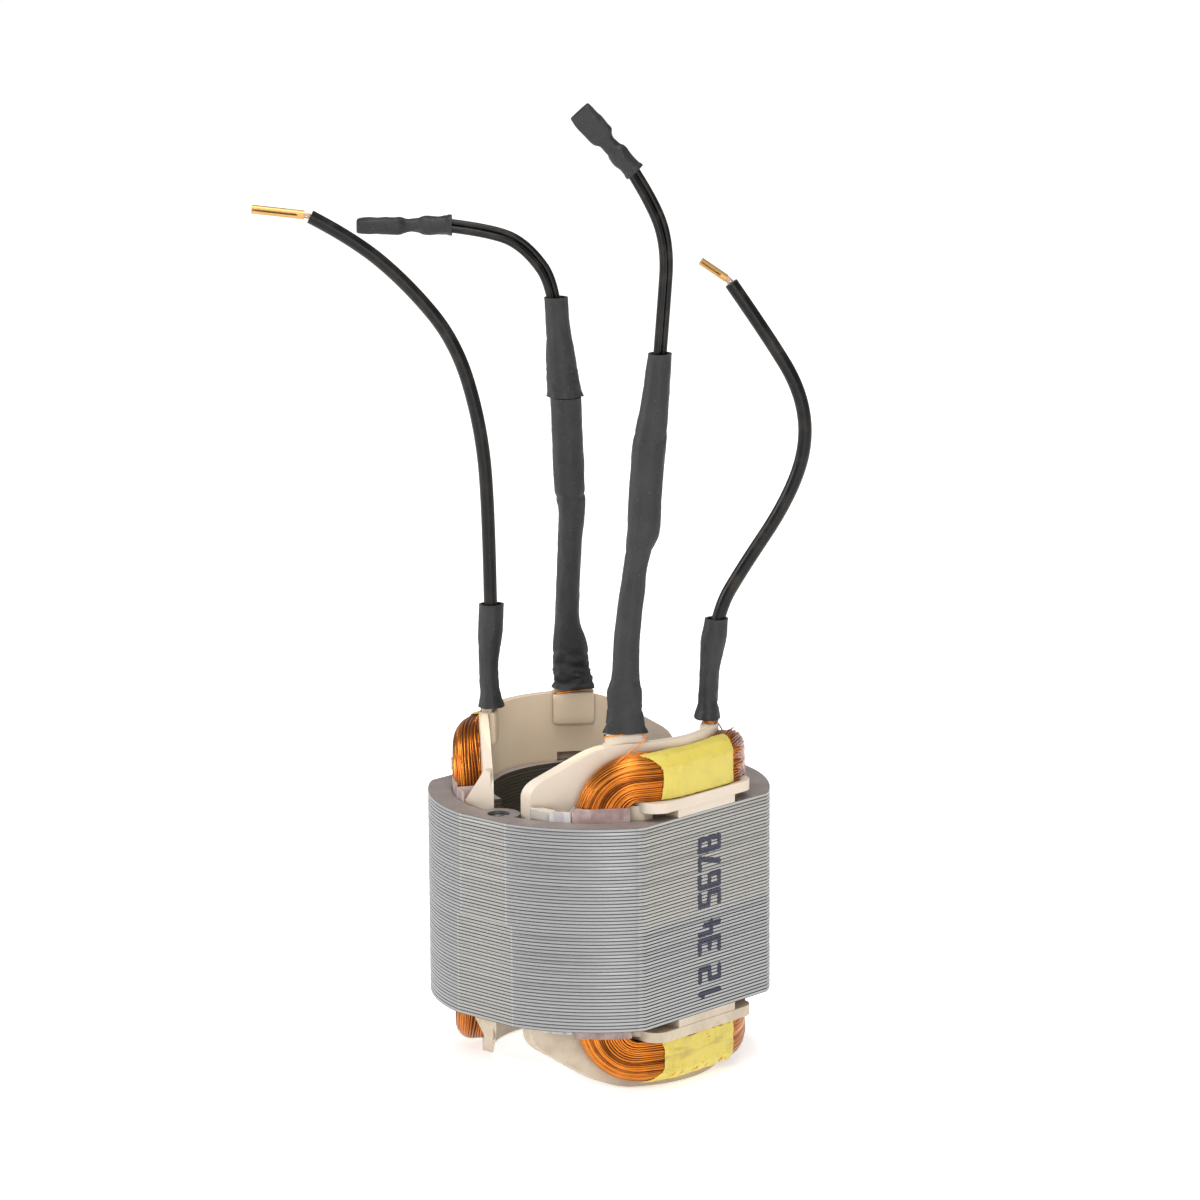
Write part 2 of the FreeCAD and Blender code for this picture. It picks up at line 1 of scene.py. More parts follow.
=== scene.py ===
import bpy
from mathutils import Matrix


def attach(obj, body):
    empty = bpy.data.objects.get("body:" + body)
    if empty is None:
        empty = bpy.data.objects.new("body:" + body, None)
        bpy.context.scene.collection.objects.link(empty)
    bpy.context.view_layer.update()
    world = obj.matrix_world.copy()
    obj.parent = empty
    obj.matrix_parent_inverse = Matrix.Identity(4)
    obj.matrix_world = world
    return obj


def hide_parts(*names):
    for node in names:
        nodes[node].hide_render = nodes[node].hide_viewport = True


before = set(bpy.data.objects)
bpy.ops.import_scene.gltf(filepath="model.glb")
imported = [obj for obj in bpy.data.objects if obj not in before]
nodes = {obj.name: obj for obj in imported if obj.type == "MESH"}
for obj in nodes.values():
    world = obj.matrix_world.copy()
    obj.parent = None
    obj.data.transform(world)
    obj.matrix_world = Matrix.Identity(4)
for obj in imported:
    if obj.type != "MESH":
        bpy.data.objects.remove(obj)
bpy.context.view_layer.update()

# %% Modules and the millimetre
import bmesh
import bpy
import math
import random
from mathutils import Matrix, Vector, noise
from mathutils.bvhtree import BVHTree

MM = 0.001
HALF_TURN = Matrix.Rotation(math.pi, 4, "Z")
SIDES = {"right": Matrix.Identity(4), "left": HALF_TURN}
scene = bpy.context.scene

# %% [markdown]
# The camera comes first. Its place was found by matching the stack's corners and rims
# to the photograph, so its three directions are plain unit vectors, not a guess by eye.
# %% Camera
CAMERA_AT = Vector((495.09, -536.55, 225.55)) * MM
RIGHT = Vector((0.7362, 0.6768, -0.0063))
UP = Vector((-0.1380, 0.1592, 0.9776))
FORWARD = Vector((-0.6626, 0.7188, -0.2105))
lens = bpy.data.cameras.new("camera")
lens.lens, lens.sensor_width, lens.sensor_fit = 154.5, 36.0, "HORIZONTAL"
lens.clip_start, lens.clip_end = 0.02, 20.0
camera = bpy.data.objects.new("camera", lens)
scene.collection.objects.link(camera)
columns = [RIGHT.normalized(), UP.normalized(), -FORWARD.normalized()]
facing = Matrix([[c[i] for c in columns] for i in range(3)]).to_4x4()
camera.matrix_world = Matrix.Translation(CAMERA_AT) @ facing
scene.camera = camera
print("camera is", round(CAMERA_AT.length, 3), "m from the origin")

# %% [markdown]
# A finish is a small web of shader nodes. Writing it as sums and products keeps it readable:
# one class wraps a socket, and another holds the material and makes every other node.
# %% Shader sums
class Value:
    """A shader socket that adds, subtracts, multiplies and divides like a number."""

    def __init__(self, finish, socket):
        self.finish, self.socket = finish, socket

    def _math(self, operation, first, second=0.0):
        return self.finish.make("Math", {"operation": operation}, {0: first, 1: second})

    def __add__(self, other):
        return self._math("ADD", self, other)

    def __sub__(self, other):
        return self._math("SUBTRACT", self, other)

    def __rsub__(self, other):
        return self._math("SUBTRACT", other, self)

    def __mul__(self, other):
        return self._math("MULTIPLY", self, other)

    def __truediv__(self, other):
        return self._math("DIVIDE", self, other)

    __radd__ = __add__
    __rmul__ = __mul__

    def floor(self):
        return self._math("FLOOR", self)

    def size(self):
        return self._math("ABSOLUTE", self)

    def between(self, low, high):
        """0 below low, 1 above high, smooth in between."""
        return self.finish.make("MapRange", {"interpolation_type": "SMOOTHSTEP"},
                                {"Value": self, "From Min": low, "From Max": high})

    def past(self, low, high):
        """The same for a place, with low and high in millimetres."""
        return self.between(low * MM, high * MM)


# %% Finishes
class Finish:
    """A material: a few fixed settings, then whatever varies over the surface."""

    def __init__(self, name, **settings):
        self.material = bpy.data.materials.new(name)
        self.material.use_nodes = True
        self.tree = self.material.node_tree
        self.shader = self.tree.nodes["Principled BSDF"]
        for socket, value in settings.items():
            self.put(socket.replace("_", " ").title().replace("Ior", "IOR"), value)

    def plug(self, socket, value):
        if isinstance(value, Value):
            self.tree.links.new(value.socket, socket)
        elif hasattr(value, "__len__") and len(value) == 3 and socket.type == "RGBA":
            socket.default_value = (*value, 1.0)
        else:
            socket.default_value = value

    def put(self, name, value):
        self.plug(self.shader.inputs[name], value)

    def make(self, kind, settings=None, inputs=None, out=0):
        node = self.tree.nodes.new("ShaderNode" + kind)
        for key, value in (settings or {}).items():
            setattr(node, key, value)
        for key, value in (inputs or {}).items():
            self.plug(node.inputs[key], value)
        return Value(self, node.outputs[out])

    def place(self, stretch=(1, 1, 1)):
        point = self.make("TexCoord", out=3)
        return self.make("Mapping", {}, {"Vector": point, "Scale": stretch})

    def axis(self, letter, kind="TexCoord", out=3):
        return self.make("SeparateXYZ", {}, {0: self.make(kind, out=out)}, out="XYZ".index(letter))

    def from_axis(self):
        """Distance from the bore's axis."""
        return self.make("VectorMath", {"operation": "LENGTH"}, {0: self.place((1, 1, 0))}, out=1)

    def noise(self, scale, detail=3.0, stretch=(1, 1, 1)):
        return self.make("TexNoise", {}, {"Vector": self.place(stretch), "Scale": scale, "Detail": detail})

    def mix(self, factor, first, second):
        return self.make("Mix", {"data_type": "RGBA"}, {0: factor, 6: first, 7: second}, out=2)

    def colour(self, factor, first, second):
        """The base colour, mixed from two."""
        self.put("Base Color", self.mix(factor, first, second))

    def bump(self, height, strength, distance):
        sockets = {"Height": height, "Strength": strength, "Distance": distance}
        self.put("Normal", self.make("Bump", {}, sockets))


def wear(piece, finish):
    """Give a piece its finish."""
    piece.data.materials.clear()
    piece.data.materials.append(finish.material)
    return piece


# %% [markdown]
# Lead insulation is soft black plastic with a low gloss, faintly brown where light grazes it.
# Fine drawn lines run along it, so the noise is made fine and shallow.
# %% Lead insulation
insulation = Finish("lead_insulation", roughness=0.3, specular_ior_level=0.27)
smudge = insulation.noise(420, 4)
insulation.colour(smudge.between(0.42, 0.75), (0.0026, 0.0022, 0.0019), (0.020, 0.016, 0.0125))
insulation.put("Roughness", 0.20 + smudge * 0.34)
insulation.bump(insulation.noise(2600, 2), 0.12, 0.0001)

# %% [markdown]
# The leads are cords of a known length. Each is a smooth spline through the air whose points
# were read off the photograph in an upright plane, at a bearing of 42.667 degrees, square to the camera.
# Bare ends and terminals are carried as solids, so each cord only names them.
# %% Lead planes
BEARING = math.radians(42.667)
ALONG = Vector((math.cos(BEARING), math.sin(BEARING), 0))
ACROSS = Vector((-math.sin(BEARING), math.cos(BEARING), 0))


def at(s, depth, z):
    """Point in a lead plane, millimetres in and metres out."""
    return (ALONG * s + ACROSS * depth + Vector((0, 0, z))) * MM


# %% Lead wires
TWIN = 0.4
routes = {
    "a": (4.0, 1.0, 72.0, [(-15.6, 62.0), (-15.7, 82.0), (-16.95, 94.5), (-20.3, 105.8),
                           (-27.0, 114.1), (-34.5, 120.6), (-40.9, 124.0)], ["pin_a", "sleeve_a"]),
    "b_one": (15.8 + TWIN, 0.55, 31.8, [(-4.93, 100.9), (-5.25, 111.7), (-9.5, 117.9),
                                        (-14.5, 120.55), (-22.6, 121.5)],
              ["jacket_b", "terminal_b", "sleeve_b", "sleeve_b_upper"]),
    "b_two": (15.8 - TWIN, 0.55, 30.4, [(-5.72, 100.9), (-6.1, 111.3), (-10.1, 117.2),
                                        (-14.8, 119.75), (-22.6, 120.67)], ["jacket_b"]),
    "c_one": (-15.8 + TWIN, 0.55, 36.4, [(8.8, 99.5), (10.0, 114.0), (10.55, 122.1),
                                         (8.65, 128.5), (4.72, 134.46)],
              ["jacket_c", "terminal_c", "sleeve_c"]),
    "c_two": (-15.8 - TWIN, 0.55, 35.8, [(7.95, 99.5), (9.15, 114.0), (9.7, 121.9),
                                         (7.85, 128.0), (4.12, 133.93)], ["jacket_c"]),
    "d": (-4.0, 1.0, 59.8, [(16.5, 61.5), (17.3, 67.5), (20.8, 73.6), (27.2, 83.3), (30.2, 91.6),
                            (29.3, 99.6), (24.5, 107.6), (19.3, 115.2)], ["pin_d", "sleeve_d"]),
}


def spline_piece(name, points, radius):
    """A round wire along a smooth spline whose ends touch the first and last point."""
    curve = bpy.data.curves.new(name, "CURVE")
    curve.dimensions, curve.resolution_u, curve.bevel_resolution = "3D", 14, 5
    curve.bevel_depth, curve.use_fill_caps = radius, True
    spline = curve.splines.new("NURBS")
    spline.points.add(len(points) - 1)
    for point, place in zip(spline.points, points):
        point.co = (*place, 1.0)
    spline.order_u = 3
    spline.use_endpoint_u = True
    piece = bpy.data.objects.new(name, curve)
    scene.collection.objects.link(piece)
    return piece


lead_cords = {}
for key, (depth, radius, length, route, ends) in routes.items():
    points = [at(s, depth, z) for s, z in route]
    lead = spline_piece("lead_" + key, points, radius * MM)
    wear(lead, insulation)
    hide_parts("lead_wire_" + key)
    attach(lead, "root")
    lead_cords[key] = (lead, points, radius, length, ends)
print("leads:", ", ".join("%s %.1f mm" % (k, v[3]) for k, v in lead_cords.items()))

# %% [markdown]
# The stack is 60 punched sheets, 0.5 mm each. What the eye sees is the row of sheet edges:
# a thin dark line between each two, and edges that stand a few hundredths in or out.
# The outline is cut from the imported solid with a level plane, then repeated for every sheet.
# %% Outline of a sheet
SHEET = 0.5 * MM
SHEETS_EACH = 30
BASE, MIDDLE, TOP = 10.5 * MM, 25.5 * MM, 40.5 * MM
PLACES = [(end, side) for end in ("top", "bottom") for side in SIDES]
HALVES = {"lower": (BASE, 18 * MM), "upper": (MIDDLE, 33 * MM)}
WELD = 2e-6


def welded(node):
    """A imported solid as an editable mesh, with its doubled corners merged."""
    bm = bmesh.new()
    bm.from_mesh(nodes[node].data)
    bmesh.ops.remove_doubles(bm, verts=bm.verts, dist=WELD)
    return bm


def level_loops(node, z):
    """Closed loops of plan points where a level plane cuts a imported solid."""
    bm = welded(node)
    bmesh.ops.bisect_plane(bm, geom=bm.verts[:] + bm.edges[:] + bm.faces[:], dist=1e-7,
                           plane_co=(0, 0, z), plane_no=(0, 0, 1), clear_inner=True, clear_outer=True)
    bmesh.ops.remove_doubles(bm, verts=bm.verts, dist=WELD)
    loops, left = [], set(bm.verts)
    while left:
        start = min(left, key=lambda v: (v.co.x, v.co.y))
        loop, last, here = [], None, start
        while here in left:
            left.discard(here)
            loop.append(Vector((here.co.x, here.co.y)))
            ways = [e.other_vert(here) for e in here.link_edges if e.other_vert(here) is not last]
            last, here = here, next((w for w in ways if w in left), start)
        loops.append(loop)
    bm.free()
    return loops


def area(loop):
    """Area inside a plan loop, below 0 where it runs clockwise."""
    return sum(a.x * b.y - a.y * b.x for a, b in zip(loop, loop[1:] + loop[:1])) / 2


loops = {half: level_loops("lamination_pack_" + half, cut_at) for half, (_, cut_at) in HALVES.items()}
print({half: [len(loop) for loop in group] for half, group in loops.items()})

# %% From a mesh to a piece
def add_piece(name, mesh, smooth_below, replaced=None):
    """Put a mesh in the frame, smooth below an angle, riding on the one body."""
    mesh.shade_smooth()
    mesh.set_sharp_from_angle(angle=math.radians(smooth_below))
    piece = bpy.data.objects.new(name, mesh)
    scene.collection.objects.link(piece)
    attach(piece, "root")
    if replaced:
        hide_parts(replaced)
    return piece


def mesh_piece(name, points, faces, smooth_below=35, replaced=None):
    """A piece from points and faces."""
    mesh = bpy.data.meshes.new(name)
    mesh.from_pydata([tuple(p) for p in points], [], faces)
    mesh.validate()
    return add_piece(name, mesh, smooth_below, replaced)


def edited_piece(name, bm, smooth_below, replaced):
    """A piece from an editable mesh, which is freed."""
    mesh = bpy.data.meshes.new(name)
    bm.to_mesh(mesh)
    bm.free()
    return add_piece(name, mesh, smooth_below, replaced)


def turned(points, side, end="top"):
    """Points made for the top right-hand end, moved to another end of the stator."""
    if end == "bottom":
        points = [Vector((p.x, p.y, BASE + TOP - p.z)) for p in points]
    return [SIDES[side] @ p for p in points]


# %% Sixty sheets
random.seed(7)
GROOVE, LEAN = 0.08 * MM, 0.01 * MM
OUT_OVER, BACK_OVER = 0.09 * MM, 0.08 * MM
SHIFT_FROM, SHIFT_TO = 0.001, 0.034


def sheet_stack(half):
    """Walls of a run of sheets, and the flat faces above and below."""
    group, z0, count = loops[half], HALVES[half][0], SHEETS_EACH
    outer = max(group, key=lambda loop: abs(area(loop)))
    bm = bmesh.new()
    shifts = [random.uniform(SHIFT_FROM, SHIFT_TO) * MM for _ in range(count)]
    ends = {}
    for loop in group:
        loop = loop if area(loop) > 0 else loop[::-1]
        inward = 1 if loop[0] in outer and len(loop) == len(outer) else -1
        normals = []
        for i, point in enumerate(loop):
            along = (loop[(i + 1) % len(loop)] - loop[i - 1]).normalized()
            normals.append(Vector((-along.y, along.x)) * inward)
        rows = []
        for sheet in range(count):
            low, high, shift = z0 + sheet * SHEET, z0 + (sheet + 1) * SHEET, shifts[sheet]
            rows += [(low, GROOVE if sheet or z0 > BASE else shift), (low + OUT_OVER, shift),
                     (high - BACK_OVER, shift + LEAN)]
        rows.append((z0 + count * SHEET, shifts[-1]))
        rings = [[bm.verts.new((*(p + n * depth), z)) for p, n in zip(loop, normals)] for z, depth in rows]
        for lower, upper in zip(rings, rings[1:]):
            for i in range(len(loop)):
                j = (i + 1) % len(loop)
                corners = (lower[i], lower[j], upper[j], upper[i])
                bm.faces.new(corners if inward == 1 else corners[::-1])
        for end, ring in (("low", rings[0]), ("high", rings[-1])):
            ends.setdefault(end, []).extend(
                bm.edges.get((ring[i], ring[(i + 1) % len(ring)])) for i in range(len(ring)))
    for end in ends.values():
        bmesh.ops.triangle_fill(bm, edges=end, use_beauty=True)
    bmesh.ops.recalc_face_normals(bm, faces=bm.faces)
    return edited_piece("sheets_" + half, bm, 28, "lamination_pack_" + half)


sheets = [sheet_stack(half) for half in HALVES]
print("sheet faces:", [len(p.data.polygons) for p in sheets])

# %% [markdown]
# Punched sheet steel is a mid grey on its cut edges, a little different on every sheet because
# each edge was sheared by itself. The flat top is darker and browner: rolled steel with its coating.
# Height over the sheet thickness gives a number per sheet, and white noise turns it into a shade.
# %% Sheet steel
steel = Finish("sheet_steel", roughness=0.4)
in_sheets = (steel.axis("Z") - BASE) / SHEET
sheet_number = in_sheets.floor()
part = in_sheets - sheet_number
ridge = part.between(0.04, 0.26) * (1 - part.between(0.74, 0.96))
shade = steel.make("TexWhiteNoise", {"noise_dimensions": "1D"}, {"W": sheet_number}, out=0)
streak = steel.noise(900, 4, (1, 1, 0.12))
speckle = steel.noise(2800, 2)
tone = shade * 0.2 + streak * 0.25 + steel.noise(60, 3) * 0.2 + speckle * 0.35
print("steel: a ridge and a groove every", SHEET / MM, "mm")

# %% Flats, facets and seams
lower_half = 1 - steel.axis("Z").past(25.4, 25.6)
on_flat = steel.axis("X").size().past(20.75, 20.95)
along, deep = steel.axis("X").size(), steel.axis("Y").size().past(20, 21)
facet_end = (4.45 + lower_half * 0.9) * MM
# The facets get a lighter, browner tone and darker grooves: painted light and shade for how they face the
# lamps. The upper flat shares the browner tone.
facet = (1 - (along - facet_end).past(-0.1, 0.1)) * deep
# These are painted highlights: pale lines at the facet seams, a pale band along the bevel at the flat's
# corner, and a lighter flat.
seam_highlight = (1 - (along - facet_end).size().past(0.03, 0.15)) * deep
bevel_highlight = 1 - (along - 20.7 * MM).size().past(0.05, 0.22)
plain = steel.mix(tone, (0.225, 0.227, 0.23), (0.38, 0.38, 0.38))
tan_and_facet_light = steel.mix(tone, (0.26, 0.245, 0.215), (0.43, 0.41, 0.37))
edge = steel.mix((facet * 0.6 + on_flat * (1 - lower_half)) * 0.9, plain, tan_and_facet_light)
edge = steel.mix(on_flat * 0.22 + seam_highlight * 0.3 + bevel_highlight * 0.2, edge, (0.62, 0.61, 0.60))
groove = steel.mix(on_flat * lower_half + facet * 0.3, (0.10, 0.099, 0.097), (0.012, 0.012, 0.012))
cut = steel.mix(ridge, groove, edge)
face = steel.mix(steel.noise(300, 5) * 0.6 + speckle * 0.4, (0.235, 0.20, 0.185), (0.51, 0.45, 0.425))
level = steel.axis("Z", "NewGeometry", 1)
in_view = steel.from_axis().past(16.4, 17.6)
# Inside the bore the sheets are painted near black: painted shade where little light reaches.
bore = steel.mix(ridge, (0.045, 0.039, 0.030), (0.105, 0.092, 0.068))
cut_and_bore_shade = steel.mix(in_view, bore, cut)
steel.colour((level * level).between(0.6, 0.9), cut_and_bore_shade, face)
steel.put("Metallic", 0.35 + in_view * 0.55)
steel.put("Roughness", 0.34 + streak * 0.16 + (1 - ridge) * 0.2)
steel.bump(steel.noise(1500, 3, (1, 1, 4)) + speckle, 0.3, 0.00004)
for piece in sheets:
    wear(piece, steel)

# %% [markdown]
# A coil is some hundred turns of enamelled copper wire, laid by hand round a former and pressed in.
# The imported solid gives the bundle. Its skin of single wires is laid on here: each wire follows
# the racetrack of the bundle at its own offset, is snapped to the nearest point of the solid,
# and wanders a little, as wound wires do.
# %% Bundle of a coil
WIRE_R = 0.15 * MM
WINDOW_HALF, WINDOW_OVER = 12.8 * MM, 2.8 * MM
COIL_R, COIL_OVER, COIL_DEG = 21.2 * MM, 9.1 * MM, 57.0
OUTSIDE_X, CORNER_X, ABOVE_Z = 24.0, 21.3, 52.0


def solid_tree(node):
    """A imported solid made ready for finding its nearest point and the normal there."""
    bm = welded(node)
    bmesh.ops.recalc_face_normals(bm, faces=bm.faces)
    tree = BVHTree.FromBMesh(bm)
    bm.free()
    return tree


coil_tree = solid_tree("field_coil_right")

# %% A lap round the bundle
LOOP_POINTS = 150


def racetrack(half_wide, half_high, radius, k):
    """Point k of a lap round a rounded rectangle, from the foot of its right side."""
    cx, cy = half_wide - radius, half_high - radius
    lengths = [2 * cy, math.pi / 2 * radius, 2 * cx, math.pi / 2 * radius] * 2
    run, side = sum(lengths) * k / LOOP_POINTS, 0
    while run > lengths[side]:
        run -= lengths[side]
        side += 1
    c, s = radius * math.cos(run / radius), radius * math.sin(run / radius)
    x, y = ((half_wide, run - cy), (cx + c, cy + s), (cx - run, half_high), (-cx - s, cy + c))[side % 4]
    return (-x, -y) if side > 3 else (x, y)

# %% A wire through points
WIRE_SIDES = 5


def round_noise(angle, spread, height):
    """Noise that meets itself again after a full turn."""
    return noise.noise(Vector((math.cos(angle) * spread, math.sin(angle) * spread, height)))


def add_wire(verts, faces, points, normals, radius, closed):
    """Add a tube round a run of points, with a cap at each end where it is open."""
    first, count = len(verts), len(points)
    for i, (p, n) in enumerate(zip(points, normals)):
        ahead = points[(i + 1) % count] if closed or i + 1 < count else p
        behind = points[i - 1] if closed or i else p
        along = (ahead - behind).normalized()
        side = along.cross(n).normalized()
        lift = side.cross(along)
        for k in range(WIRE_SIDES):
            a = 2 * math.pi * k / WIRE_SIDES
            verts.append(p + (side * math.cos(a) + lift * math.sin(a)) * radius)
    for i in range(count if closed else count - 1):
        here, there = first + i * WIRE_SIDES, first + (i + 1) % count * WIRE_SIDES
        for k in range(WIRE_SIDES):
            m = (k + 1) % WIRE_SIDES
            faces.append((here + k, here + m, there + m, there + k))
    if not closed:
        faces.append(tuple(range(first, first + WIRE_SIDES)))
        faces.append(tuple(range(len(verts) - WIRE_SIDES, len(verts)))[::-1])


# %% Wires on the skin
FACE_LANES, END_LANES = 26, 16
TRACK_IN, TRACK_OUT = 1.9, 9.0
DEEP_R, SKIN_R = 15.5, 22.6


def skin_wires(side, seed):
    """Single wires over the outer face and the two end faces of the right-hand bundle."""
    verts, faces = [], []
    lanes = [(0.015 + 0.97 * i / (FACE_LANES - 1), 1.0) for i in range(FACE_LANES)]
    lanes += [(1.0, 1.0 - (i + 1) / (END_LANES + 1)) for i in range(END_LANES)]
    window, face = math.asin(WINDOW_HALF / COIL_R), math.radians(COIL_DEG)
    for lane, (t, depth) in enumerate(lanes):
        track_r = (TRACK_IN + (TRACK_OUT - TRACK_IN) * t) * MM
        guess_r = (DEEP_R + (SKIN_R - DEEP_R) * depth) * MM
        points, normals = [], []
        for k in range(LOOP_POINTS):
            u = k / LOOP_POINTS * 2 * math.pi
            drift = round_noise(u, 1.6, seed + lane * 0.35)
            track = min(1.06, max(0.0, t + drift * 0.045 + (0.04 if depth < 1 else 0)))
            wide = window + (face - window) * track
            high = (TOP - BASE) / 2 + WINDOW_OVER + (COIL_OVER - WINDOW_OVER) * track
            s, z = racetrack(wide * COIL_R, high, track_r, k)
            guess = Vector((math.cos(s / COIL_R), math.sin(s / COIL_R), 0)) * (guess_r + drift * 0.5 * MM)
            guess.z = MIDDLE + z
            place, normal, _, _ = coil_tree.find_nearest(guess)
            loose = 2.2 if side == "right" and place.y > 7.6 * MM else 1.0
            lift = noise.noise(Vector((u * 2.2 * loose, lane * 3.7, seed))) * 0.07 * loose * MM
            points.append(place + normal * (lift - WIRE_R * 0.1))
            normals.append(normal)
        add_wire(verts, faces, points, normals, WIRE_R, True)
    return verts, faces


# %% Lay the wires
bright_wires = []
for side, seed in (("right", 1.3), ("left", 8.1)):
    points, faces = skin_wires(side, seed)
    bright_wires.append(mesh_piece("coil_wires_" + side, turned(points, side), faces, 80))
print("wire faces:", [len(p.data.polygons) for p in bright_wires])

# %% [markdown]
# Behind the tape the turns leave the bundle one by one before they dive into the slot,
# so the far corner of a coil looks like a brush: short wires that lift off the surface.
# %% Loose turns behind the tape
random.seed(21)
LOOSE_TURNS, LOOSE_STEPS, LOOSE_ON_FACE, LOOSE_R = 64, 8, 0.6, 0.1 * MM


def loose_turns():
    """Short wires that start under the far edge of the upper right-hand tape."""
    verts, faces = [], []
    for lane in range(LOOSE_TURNS):
        v = lane / (LOOSE_TURNS - 1)
        far = random.uniform(2.4, 4.2)
        rise, swing = random.uniform(0.15, 0.75), random.uniform(-0.25, 0.25)
        points, normals = [], []
        for k in range(LOOSE_STEPS + 1):
            f = k / LOOSE_STEPS
            if v < LOOSE_ON_FACE:
                guess = Vector((OUTSIDE_X, 0, 43.3 + v / LOOSE_ON_FACE * 6.4))
                guess.z += swing * f
            else:
                guess = Vector((CORNER_X - 3.7 * (v - LOOSE_ON_FACE) / (1 - LOOSE_ON_FACE), 0, ABOVE_Z))
            guess.y = 6.6 + far * f
            place, normal, _, _ = coil_tree.find_nearest(guess * MM)
            points.append(place + normal * (0.06 + rise * f ** 1.7) * MM)
            normals.append(normal)
        add_wire(verts, faces, points, normals, LOOSE_R, False)
    return verts, faces


points, faces = loose_turns()
bright_wires.append(mesh_piece("loose_turns_top_right", points, faces, 80))
print("loose turn faces:", len(faces))

# %% [markdown]
# Enamelled copper shows orange where light catches it. The dark brown in the gaps is painted shade on the
# bundle below the wires.
# The clear enamel is a coat over metal. Colour changes slowly from place to place with the heat
# and handling of the winding, so a soft noise mixes two coppers.
# %% Copper
copper = Finish("enamelled_copper", metallic=1.0, roughness=0.3, coat_weight=0.15, coat_roughness=0.25)
each_wire = copper.make("NewGeometry", out=8)
patch = copper.noise(260, 3).between(0.3, 0.7) * 0.3 + each_wire.between(0.12, 0.8) * 0.7
orange = copper.mix(patch, (0.15, 0.031, 0.004), (0.82, 0.27, 0.033))
# Behind the upper right-hand tape the wires are painted pale pink: a painted sheen of enamel catching light
# at a grazing angle.
behind = copper.axis("Y").past(7.8, 9.0) * copper.axis("X").past(0, 8)
behind = behind * copper.axis("Z").past(40, 41.5) * (1 - copper.axis("Y").past(11.0, 16.5) * 0.8)
sheen_breakup = copper.noise(1500, 2).between(0.35, 0.65) * 0.6 + each_wire * 0.4
pinkish = copper.mix(sheen_breakup, (0.16, 0.055, 0.035), (0.80, 0.47, 0.38))
copper.colour(behind, orange, pinkish)
copper.put("Roughness", 0.26 + each_wire * 0.1)
# The bundle under the skin wires is painted a dark copper brown: painted shade between the wires.
bundle_shade_copper = Finish("copper_in_bundle_shade", metallic=0.9, roughness=0.5)
grain = bundle_shade_copper.noise(1400, 3)
bundle_shade_copper.colour(grain, (0.035, 0.009, 0.002), (0.16, 0.042, 0.008))
bundle_shade_copper.bump(grain, 0.5, 0.0002)
for piece in bright_wires:
    wear(piece, copper)
for side in SIDES:
    wear(nodes["field_coil_" + side], bundle_shade_copper)

# %% [markdown]
# A band of adhesive tape holds each end turn. It is thin enough to show the wires below,
# puckers where it turns over the rim, and its cut edges are a little ragged.
# It is a grid of points snapped to the coil and lifted by its own folds.
# %% Tape bands
TAPE_TO = 7.3 * MM
ON_FACE = 0.62


def tape_from(v):
    """The front edge follows the swell of the coil: nearest the middle half way up the face."""
    return (-9.4 - 0.75 * abs(v - 0.3) / 0.3 if v < ON_FACE else -10.2 - 1.0 * (v - ON_FACE)) * MM


def tape_band(seed, wrinkled):
    """A band over the outer face and the top of the right-hand top end turn."""
    across, around = 96, 60
    points, faces = [], []
    for i in range(across + 1):
        for j in range(around + 1):
            v = j / around
            y = tape_from(v) + (TAPE_TO - tape_from(v)) * i / across
            ragged = 0.0 if j else noise.noise(Vector((y * 900, seed, 0))) * (0.12 + 0.4 * wrinkled) * MM
            edge = noise.noise(Vector((v * 9, seed, 4))) * 0.22 * MM if i in (0, across) else 0.0
            if v < ON_FACE:
                up_face = (v / ON_FACE) * 6.3 * MM
                guess = Vector((OUTSIDE_X * MM, 0, 43.35 * MM + ragged + up_face))
            else:
                inwards = (v - ON_FACE) / (1 - ON_FACE)
                guess = Vector(((CORNER_X - 3.6 * inwards) * MM, 0, ABOVE_Z * MM))
            guess.y = y + edge
            place, normal, _, _ = coil_tree.find_nearest(guess)
            fold = noise.noise(Vector((y * 700, v * 2.2, seed)))
            crease = abs(noise.noise(Vector((y * 1500 + v * 2, v * 5, seed + 9)))) ** 0.6
            lift = 0.33 + (0.05 + 0.07 * wrinkled) * fold - (0.07 + 0.12 * wrinkled) * crease
            points.append(place + normal * lift * MM)
    for i in range(across):
        for j in range(around):
            a = i * (around + 1) + j
            faces.append((a, a + 1, a + around + 2, a + around + 1))
    return points, faces


def thicken(piece, thickness, offset):
    """Give a sheet its thickness, on both sides of its points or on one."""
    thick = piece.modifiers.new("thickness", "SOLIDIFY")
    thick.thickness, thick.offset = thickness * MM, offset


tapes = []
for index, (end, side) in enumerate(PLACES):
    points, faces = tape_band(3.1 + index * 5.7, end == "bottom")
    place = "%s_%s" % (end, side)
    faces = faces if end == "bottom" else [f[::-1] for f in faces]
    band = mesh_piece("tape_band_" + place, turned(points, side, end), faces, 60, "tape_" + place)
    thicken(band, 0.09, -1)
    tapes.append(band)
print("tape faces:", [len(band.data.polygons) for band in tapes])

# %% [markdown]
# The tape is a pale yellow film with a soft gloss. Wires show through as faint darker lines,
# and handling has left grey and brown smudges, most of them on the lower band.
# %% Yellow tape
tape = Finish("yellow_tape", roughness=0.42, subsurface_weight=0.08)
smear = tape.noise(190, 5, (1, 1, 2.6))
clean = tape.mix(tape.noise(420, 3), (0.60, 0.47, 0.07), (0.70, 0.575, 0.105))
low_down = 1 - tape.axis("Z").past(8, 14)
grey = tape.mix(smear.between(0.55, 0.80) * 0.4, clean, (0.42, 0.37, 0.13))
scuff = tape.noise(300, 6, (1, 0.35, 2.2)).between(0.52, 0.66) * low_down
tape.colour(scuff * 0.6, grey, (0.34, 0.20, 0.07))
tape.put("Roughness", 0.34 + smear * 0.25)
tape.bump(tape.noise(1100, 3, (1, 1, 0.25)), 0.3, 0.0001)
for band in tapes:
    wear(band, tape)
